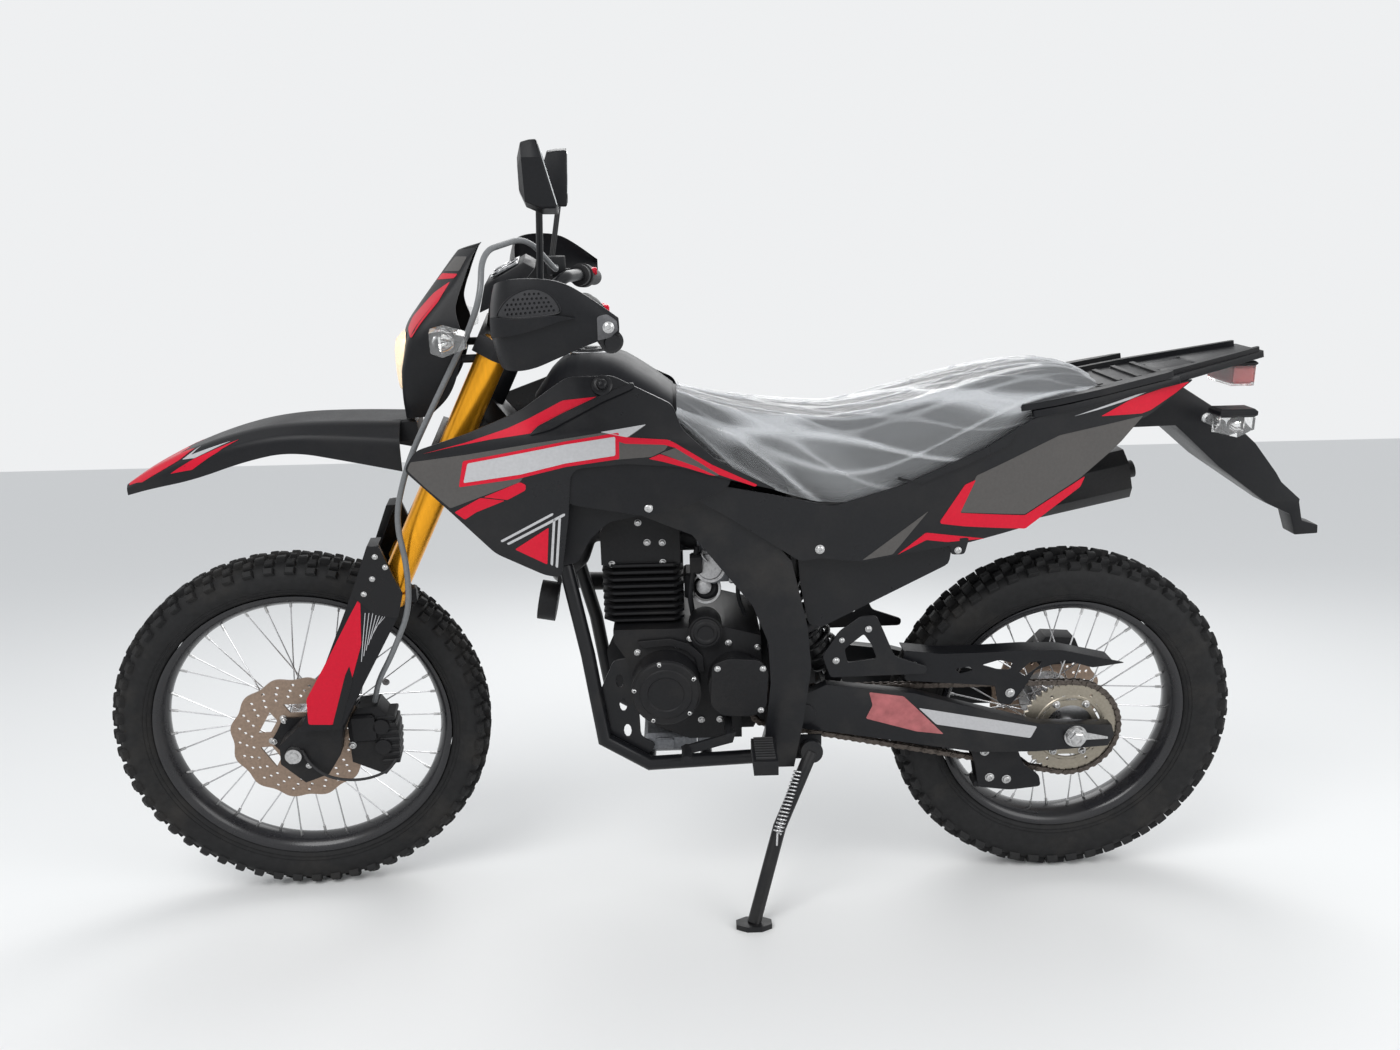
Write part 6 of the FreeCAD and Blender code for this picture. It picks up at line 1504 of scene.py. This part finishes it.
class MOTO_OT_engine(bpy.types.Operator):
    """Makes the raised covers, bolts, sump and intake of the engine"""

    bl_idname = "moto.engine"
    bl_label = "Engine trim"

    def execute(self, context):
        self.covers()
        self.intake()
        self.brackets()
        self.running_gear()
        self.tail()
        return {"FINISHED"}

    def covers(self):
        """Round lids and raised boxes on the cases, the bolts of both sides and the ribbed sump."""
        step = [(-1, 0.01), (-1, 60), (2, 60), (5, 57), (5, 47), (7, 45), (7, 33), (5, 31), (5, 0.01)]
        lids = [boss([(h, r * size) for h, r in step], centre, axis, count) for size, centre, axis, count in
                ((1.0, (690, -150, 450), LEFT, 56), (1.12, (785, 140, 440), (0, 1, 0), 56),
                 (0.46, (763, -112, 548), LEFT, 40))]
        box = ((772, 500), (800, 512), (856, 508), (872, 486), (868, 416), (846, 400), (790, 402), (768, 424))
        lids.append(skin(rounded(box, 10, 4), flat_place(150, -1), 9.0, (), 14))
        rib = ((640, 532), (700, 536), (735, 524), (758, 500), (760, 470), (748, 470), (744, 496), (728, 512),
               (698, 522), (650, 518))
        lids.append(skin(rounded(rib, 4, 3), flat_place(108, -1), 10.0, (), 10))
        piece("engine_cover_lids", lids, "chassis", "engine_black", 35, rim=1.5)
        heads = [screw(5, 4.5, (x, hand * (side + 0.2), z), (0, hand, 0))
                 for side, spots in ENGINE_BOLTS.items() for x, z in spots for hand in (-1, 1)]
        heads += screw_ring(4, 4, 56, -152, 5, 690, 450, 0.5)
        heads += [screw(4.5, 4, (x, -150.2, z), LEFT) for x, z in ((782, 494), (862, 492), (858, 412))]
        heads.append(screw(11, 9, (690, -30, 303), (0, 0, -1)))
        piece("engine_bolts", heads, "chassis", "zinc_bolt")
        sump = [block((645, -92, 303), (742, 60, 340), 7), block((668, -97, 312), (700, -88, 334), 3),
                block((744, -88, 316), (800, 60, 338), 5)]
        sump += [block((650 + 11 * k, -95, 306), (655 + 11 * k, -90, 337), 1.2) for k in (6, 7, 8)]
        piece("engine_sump", sump, "chassis", "sump_grey")

    def intake(self):
        """The intake's castings behind the cylinder, its rubber boots and the cables beside it."""
        slanted = (-0.25, -1, 0.3)
        bell = [(-16, 0.01), (-16, 20), (-12, 25), (2, 27), (6, 29), (10, 29), (10, 24), (13, 22), (13, 0.01)]
        intake = [boss(bell, (776, -46, 650), (-0.2, -1, 0.25), 40),
                  boss([(0, 24), (0, 28), (5, 28), (5, 24), (0, 24)], (767, -40, 606), slanted, 36),
                  boss([(0, 0.01), (0, 14), (3, 14), (5, 10), (5, 0.01)], (763, -47, 612), slanted, 28),
                  block((808, -66, 622), (834, -44, 646), 3),
                  pipe([(752, -36, 704), (764, -52, 712), (782, -58, 704), (796, -50, 688)], 3.2),
                  pipe([(770, -46, 690), (758, -58, 676), (770, -62, 664)], 2.4),
                  boss([(0, 0.01), (0, 8), (14, 8), (14, 5), (20, 5), (20, 0.01)], (790, -40, 700),
                       (0, -0.3, 1), 20)]
        piece("intake_castings", intake, "chassis", "cast_alloy", 35)
        boots = [rod((722, -6, 700), (760, -10, 690), 21, 24), rod((806, 0, 684), (930, 0, 690), 27, 24),
                 boss([(-30, 0.01), (-30, 20), (-8, 24), (4, 24), (8, 19), (8, 0.01)], (768, -34, 608),
                      slanted, 32),
                 block((806, -74, 668), (842, -40, 716), 5),
                 block((738, -62, 640), (760, -40, 676), 4), block((727, -40, 586), (746, 20, 634), 4),
                 pipe([(742, -50, 560), (736, -58, 600), (744, -56, 650), (752, -50, 690)], 5),
                 pipe([(836, -60, 560), (822, -66, 600), (826, -62, 640), (830, -56, 676)], 4)]
        piece("intake_boots", boots, "chassis", "rough_plastic", 35, rim=1.5)
        cables = [pipe([(790, -42, 716), (786, -60, 760), (720, -80, 800), (600, -86, 850), (520, -60, 900)],
                       3.2, 4),
                  pipe([(612, -40, 770), (640, -60, 800), (700, -60, 830), (760, -50, 860)], 3.5, 4),
                  pipe([(812, -56, 634), (850, -70, 620), (880, -80, 560), (884, -90, 480)], 3, 4)]
        piece("engine_cables", cables, "chassis", "grip_rubber", 60)

    def brackets(self):
        """Plates between frame, engine and tail: rear gussets, slotted front plates and small tabs."""
        gusset = ((970, 500), (1000, 546), (1038, 574), (1066, 574), (1078, 548), (1100, 496), (1160, 474),
                  (1158, 460), (985, 458))
        gap = ((1010, 512), (1044, 540), (1058, 520), (1068, 492), (1016, 486))
        plates = [skin(rounded(gusset, 6, 3), flat_place(121, hand), 4, [rounded(gap, 4, 3)], 16)
                  for hand in (-1, 1)]
        front = ((556, 404), (596, 492), (636, 498), (640, 340), (668, 322), (650, 298), (616, 300),
                 (572, 352))
        holes = [hole_at(0, 0, 1, 10) * (7, 13) + (x, z) for x, z in ((606, 452), (610, 404), (616, 352))]
        plates += [skin(rounded(front, 8, 3), flat_place(96, hand), 4, holes, 16) for hand in (-1, 1)]
        tab = rounded(((1180, 724), (1216, 724), (1209, 694), (1186, 694)), 5, 3)
        plates += [skin(tab, flat_place(151, hand), 3, (), 10) for hand in (-1, 1)]
        piece("frame_brackets", plates, "chassis", "frame_paint", rim=0.8)

    def tail(self):
        """Grab blades and raised edge of the rack, caps and bulbs of the rear lamps."""
        turn = math.atan2(80, 430)

        def rack(u, v, deep):
            lift = deep + 6
            return np.stack([1316 + u * math.cos(turn) - lift * math.sin(turn), v,
                             932 + u * math.sin(turn) + lift * math.cos(turn)], -1)

        blades = []
        for hand in (-1, 1):
            blade = np.array(((-22, 122), (-16, 138), (40, 146), (120, 142), (236, 122), (250, 112),
                              (200, 112), (110, 124), (40, 124))) * (1, hand)
            blades.append(skin(rounded(blade, 8, 4), lifted(rack, 13), 11, (), 12))
            edge = np.array(((36, 96), (36, 106), (240, 92), (424, 50), (424, 40), (236, 80)),
                            float) * (1, hand)
            blades.append(skin(rounded(edge, 4, 3), lifted(rack, 8), 9, (), 12))
        for k in range(6):
            bar = np.array(((70 + 34 * k, -62), (70 + 34 * k, 62), (78 + 34 * k, 62), (78 + 34 * k, -62)),
                           float)
            blades.append(skin(bar, lifted(rack, 4), 5, (), 20))
        piece("rack_grab_blades", blades, "chassis", "satin_plastic", 35, rim=2.0)
        caps = [block((1618, hand * 142 - 22, 922), (1680, hand * 142 + 22, 936), 4) for hand in (-1, 1)]
        caps += [block((1686, -48, 990), (1732, 48, 998), 3)]
        piece("rear_lamp_caps", caps, "chassis", "satin_plastic")
        piece("tail_lamp_glass", block((1693, -43, 958), (1728, 43, 989), 4), "chassis", "red_lens")
        bowl = [(0, 0.01), (0, 7), (6, 13), (18, 17), (18, 15), (5, 11), (-1, 5), (-1, 0.01)]
        bowls = [boss(bowl, (1644, hand * 142, 909), (1, 0, 0), 20) for hand in (-1, 1)]
        piece("rear_indicator_bowls", bowls, "chassis", "reflector")

    def running_gear(self):
        """Chain guard and guide, films on the swingarm, springs, peg ribs and axle fittings."""
        top = np.array([(1119, 501), (1185, 492), (1257, 492), (1339, 495), (1407, 493), (1500, 471)], float)

        def shelf(u, v, deep):
            return np.stack([u, -(66 + 40 * v), np.interp(u, top[:, 0], top[:, 1]) - 1 + deep], -1)

        slots = [rounded(row, 2, 2) for row in GUARD_SLOTS]
        shapes = [skin(rounded(GUARD_EDGE, 5, 3), flat_place(107.5, -1), 3.0, slots, 9),
                  sheet_over(shelf, np.linspace(1119, 1500, 40), np.linspace(0, 1, 6), 2.5),
                  skin(rounded(GUIDE_EDGE, 6, 3), flat_place(99, -1), 6.0, (), 10),
                  skin(rounded(GUIDE_EDGE, 6, 3), flat_place(63, -1), 4.0, (), 10),
                  block((1262, -96, 214), (1372, -62, 226), 2), block((1262, -96, 292), (1340, -62, 300), 2)]
        piece("chain_guard_slotted", shapes, "chassis", "satin_plastic", 35, rim=0.9,
              node="chain_guards")
        bolts = [screw(7, 5, (x, -side, z), LEFT) for x, z, side in
                 ((1138, 470, 107.6), (1316, 412, 107.6), (1290, 236, 99), (1322, 231, 99), (1278, 290, 99))]
        bolts += [screw(15, 9, (WHEELBASE, -123, REAR_AXLE_HEIGHT), LEFT, 6),
                  boss([(0, 0.01), (0, 21), (3, 21), (3, 0.01)], (WHEELBASE, -114.2, REAR_AXLE_HEIGHT), LEFT,
                       32)]
        pointer = ((1440, 330), (1462, 331), (1500, 322), (1500, 318), (1462, 317), (1440, 319))
        bolts.append(skin(np.array(pointer, float), flat_place(116, -1), 2, (), 20))
        piece("chain_guard_bolts", bolts, "chassis", "zinc_bolt")
        flag = ((1057, 424), (1120, 414), (1144, 390), (1196, 336), (1146, 343), (1052, 372), (1064, 398))
        bar = ((1148, 390), (1368, 346), (1357, 323), (1182, 356), (1172, 366))
        for name, film, row in (("swingarm_red_film", "faded_film", flag),
                                ("swingarm_bar_film", "silver_film", bar)):
            shapes = [skin(rounded(row, 2, 2), flat_place(114, hand, 0.6), 0.5, (), 16) for hand in (-1, 1)]
            piece(name, shapes, "chassis", film)
        pivot, foot = np.array((950, -134, 322.0)), np.array((835, -268, 62.0))
        leg = (foot - pivot) / np.linalg.norm(foot - pivot)
        off = np.array((-13.0, -9.0, 0.0))
        coil = helix(pivot + leg * 34 + off, pivot + leg * 150 + off, 7, 1.7, 17)
        ends = [tube(np.array([pivot + leg * 8 + off, pivot + leg * 34 + off]), 1.8, 8),
                tube(np.array([pivot + leg * 150 + off, pivot + leg * 176 + off * 0.4]), 1.8, 8)]
        piece("stand_spring", [coil] + ends, "side_stand", "bright_steel", 60)
        ribs = [block((842, y - 2, 368), (876, y + 2, 373), 1)
                for hand in (-1, 1) for y in hand * (178 + 9 * np.arange(9))]
        piece("peg_ribs", ribs, "chassis", "grip_rubber")
        coil = helix((998, 0, 440), (912, 0, 588), 30, 5.5, 7.5, 24)
        piece("shock_coil", coil, "chassis", "spring_black", 60)


class MOTO_OT_fixings(bpy.types.Operator):
    """Sets the screws that show on the panels and the fork guards"""

    bl_idname = "moto.fixings"
    bl_label = "Screws"

    def execute(self, context):
        for group in ("chassis", "steering"):
            heads = [screw(radius, height, (x, hand * side, z), (0, hand, 0))
                     for name, x, z, side, radius, height in FIXINGS if name == group for hand in (-1, 1)]
            piece(group + "_screws", heads, group, "zinc_bolt")
        return {"FINISHED"}


class MOTO_OT_stage(bpy.types.Operator):
    """Lays the floor and sets the lights and the camera"""

    bl_idname = "moto.stage"
    bl_label = "Stage"

    def execute(self, context):
        s = context.scene.moto_stage
        scene = context.scene
        mesh = bpy.data.meshes.new("floor")
        reach = 30.0
        mesh.from_pydata([(-reach, -reach, -0.0005), (reach, -reach, -0.0005), (reach, reach, -0.0005),
                          (-reach, reach, -0.0005)], [], [(0, 1, 2, 3)])
        floor = bpy.data.objects.new("floor", mesh)
        scene.collection.objects.link(floor)
        paper = bpy.data.materials.new("pale_floor")
        paper.use_nodes = True
        shader = paper.node_tree.nodes["Principled BSDF"]
        shader.inputs["Base Color"].default_value = (*s.floor, 1)
        shader.inputs["Roughness"].default_value = 0.85
        mesh.materials.append(paper)
        world = bpy.data.worlds.new("pale_room")
        scene.world = world
        world.use_nodes = True
        tree = world.node_tree
        room = set_node(tree, tree.nodes["Background"], {"Color": (0.93, 0.96, 1.0, 1), "Strength": s.sky})
        seen = add_node(tree, "ShaderNodeBackground", {"Color": (0.86, 0.87, 0.88, 1), "Strength": 1.0})
        rays = add_node(tree, "ShaderNodeLightPath").outputs
        bent = add_node(tree, "ShaderNodeMath", operation="MAXIMUM",
                        feeds={0: rays["Is Glossy Ray"], 1: rays["Is Transmission Ray"]})
        either = add_node(tree, "ShaderNodeMath", operation="MAXIMUM",
                          feeds={0: rays["Is Camera Ray"], 1: bent.outputs[0]})
        mix = add_node(tree, "ShaderNodeMixShader",
                       feeds={0: either.outputs[0], 1: room.outputs[0], 2: seen.outputs[0]})
        set_node(tree, tree.nodes["World Output"], feeds={"Surface": mix.outputs[0]})
        rows = (
            # name, place, aims at, size, strength
            ("key_light", (-1.6, -3.0, 3.2), (0, 0, 0.5), 2.6, s.key),
            ("fill_light", (2.6, -2.2, 1.6), (0.2, 0, 0.5), 2.4, s.fill),
            ("back_light", (0.4, 2.8, 2.8), (0, 0, 0.7), 2.4, s.fill),
        )
        for name, place, aim, size, strength in rows:
            lamp = bpy.data.lights.new(name, "AREA")
            lamp.shape = "DISK"
            lamp.size = size
            lamp.energy = strength
            obj = bpy.data.objects.new(name, lamp)
            scene.collection.objects.link(obj)
            line = np.array(aim) - np.array(place)
            back = -line / np.linalg.norm(line)
            across = np.cross([0, 0, 1], back)
            across /= np.linalg.norm(across)
            turn = Matrix(np.array([across, np.cross(back, across), back]).T).to_4x4()
            obj.matrix_world = Matrix.Translation(place) @ turn
        self.camera(scene, s.lens)
        scene.view_settings.view_transform = "Standard"
        return {"FINISHED"}

    def camera(self, scene, lens):
        """Looks from the machine's left, slightly above its seat, and rolls a little with the ground."""
        yaw, pitch, roll = 0.01303, 0.28364, -0.02251
        place = (733.69, -1924.69, 1275.80)
        right = np.array([math.cos(yaw), -math.sin(yaw), 0.0])
        ahead = np.array([math.sin(yaw) * math.cos(pitch), math.cos(yaw) * math.cos(pitch), -math.sin(pitch)])
        up = np.cross(right, ahead)
        c, r = math.cos(roll), math.sin(roll)
        right, up = right * c + up * r, up * c - right * r
        axes, origin = PLACES["chassis"]
        columns = np.array([right, up, -ahead]) @ axes
        camera = bpy.data.cameras.new("photo_camera")
        camera.sensor_width = 36.0
        camera.lens = lens
        camera.clip_end = 200.0
        obj = bpy.data.objects.new("photo_camera", camera)
        scene.collection.objects.link(obj)
        turn = Matrix([list(row) for row in columns.T]).to_4x4()
        obj.matrix_world = Matrix.Translation(to_row([place], "chassis")[0]) @ turn
        scene.camera = obj


ORDER = (
    "finishes", "carried", "tyres", "wheels", "discs", "drive", "panels", "seat", "front", "engine",
    "fixings", "stage")


class MOTO_PT_panel(bpy.types.Panel):
    """Lists the steps that dress the machine"""

    bl_label = "Motorcycle"
    bl_idname = "MOTO_PT_panel"
    bl_space_type = "VIEW_3D"
    bl_region_type = "UI"
    bl_category = "Motorcycle"

    def draw(self, context):
        layout = self.layout
        for group in (context.scene.moto_colours, context.scene.moto_sizes, context.scene.moto_stage):
            box = layout.box()
            for name in group.__annotations__:
                box.prop(group, name)
        for name in ORDER:
            layout.operator("moto." + name)


CLASSES = (
    MotorcycleColours, MotorcycleSizes, StageSettings, MOTO_OT_finishes, MOTO_OT_carried, MOTO_OT_tyres,
    MOTO_OT_wheels, MOTO_OT_discs, MOTO_OT_drive, MOTO_OT_panels, MOTO_OT_seat, MOTO_OT_front,
    MOTO_OT_engine, MOTO_OT_fixings, MOTO_OT_stage, MOTO_PT_panel)


def register():
    for item in CLASSES:
        bpy.utils.register_class(item)
    bpy.types.Scene.moto_colours = PointerProperty(type=MotorcycleColours)
    bpy.types.Scene.moto_sizes = PointerProperty(type=MotorcycleSizes)
    bpy.types.Scene.moto_stage = PointerProperty(type=StageSettings)


def unregister():
    del bpy.types.Scene.moto_colours
    del bpy.types.Scene.moto_sizes
    del bpy.types.Scene.moto_stage
    for item in reversed(CLASSES):
        bpy.utils.unregister_class(item)


def main():
    register()
    for name in ORDER:
        getattr(bpy.ops.moto, name)()


if __name__ == "__main__":
    main()
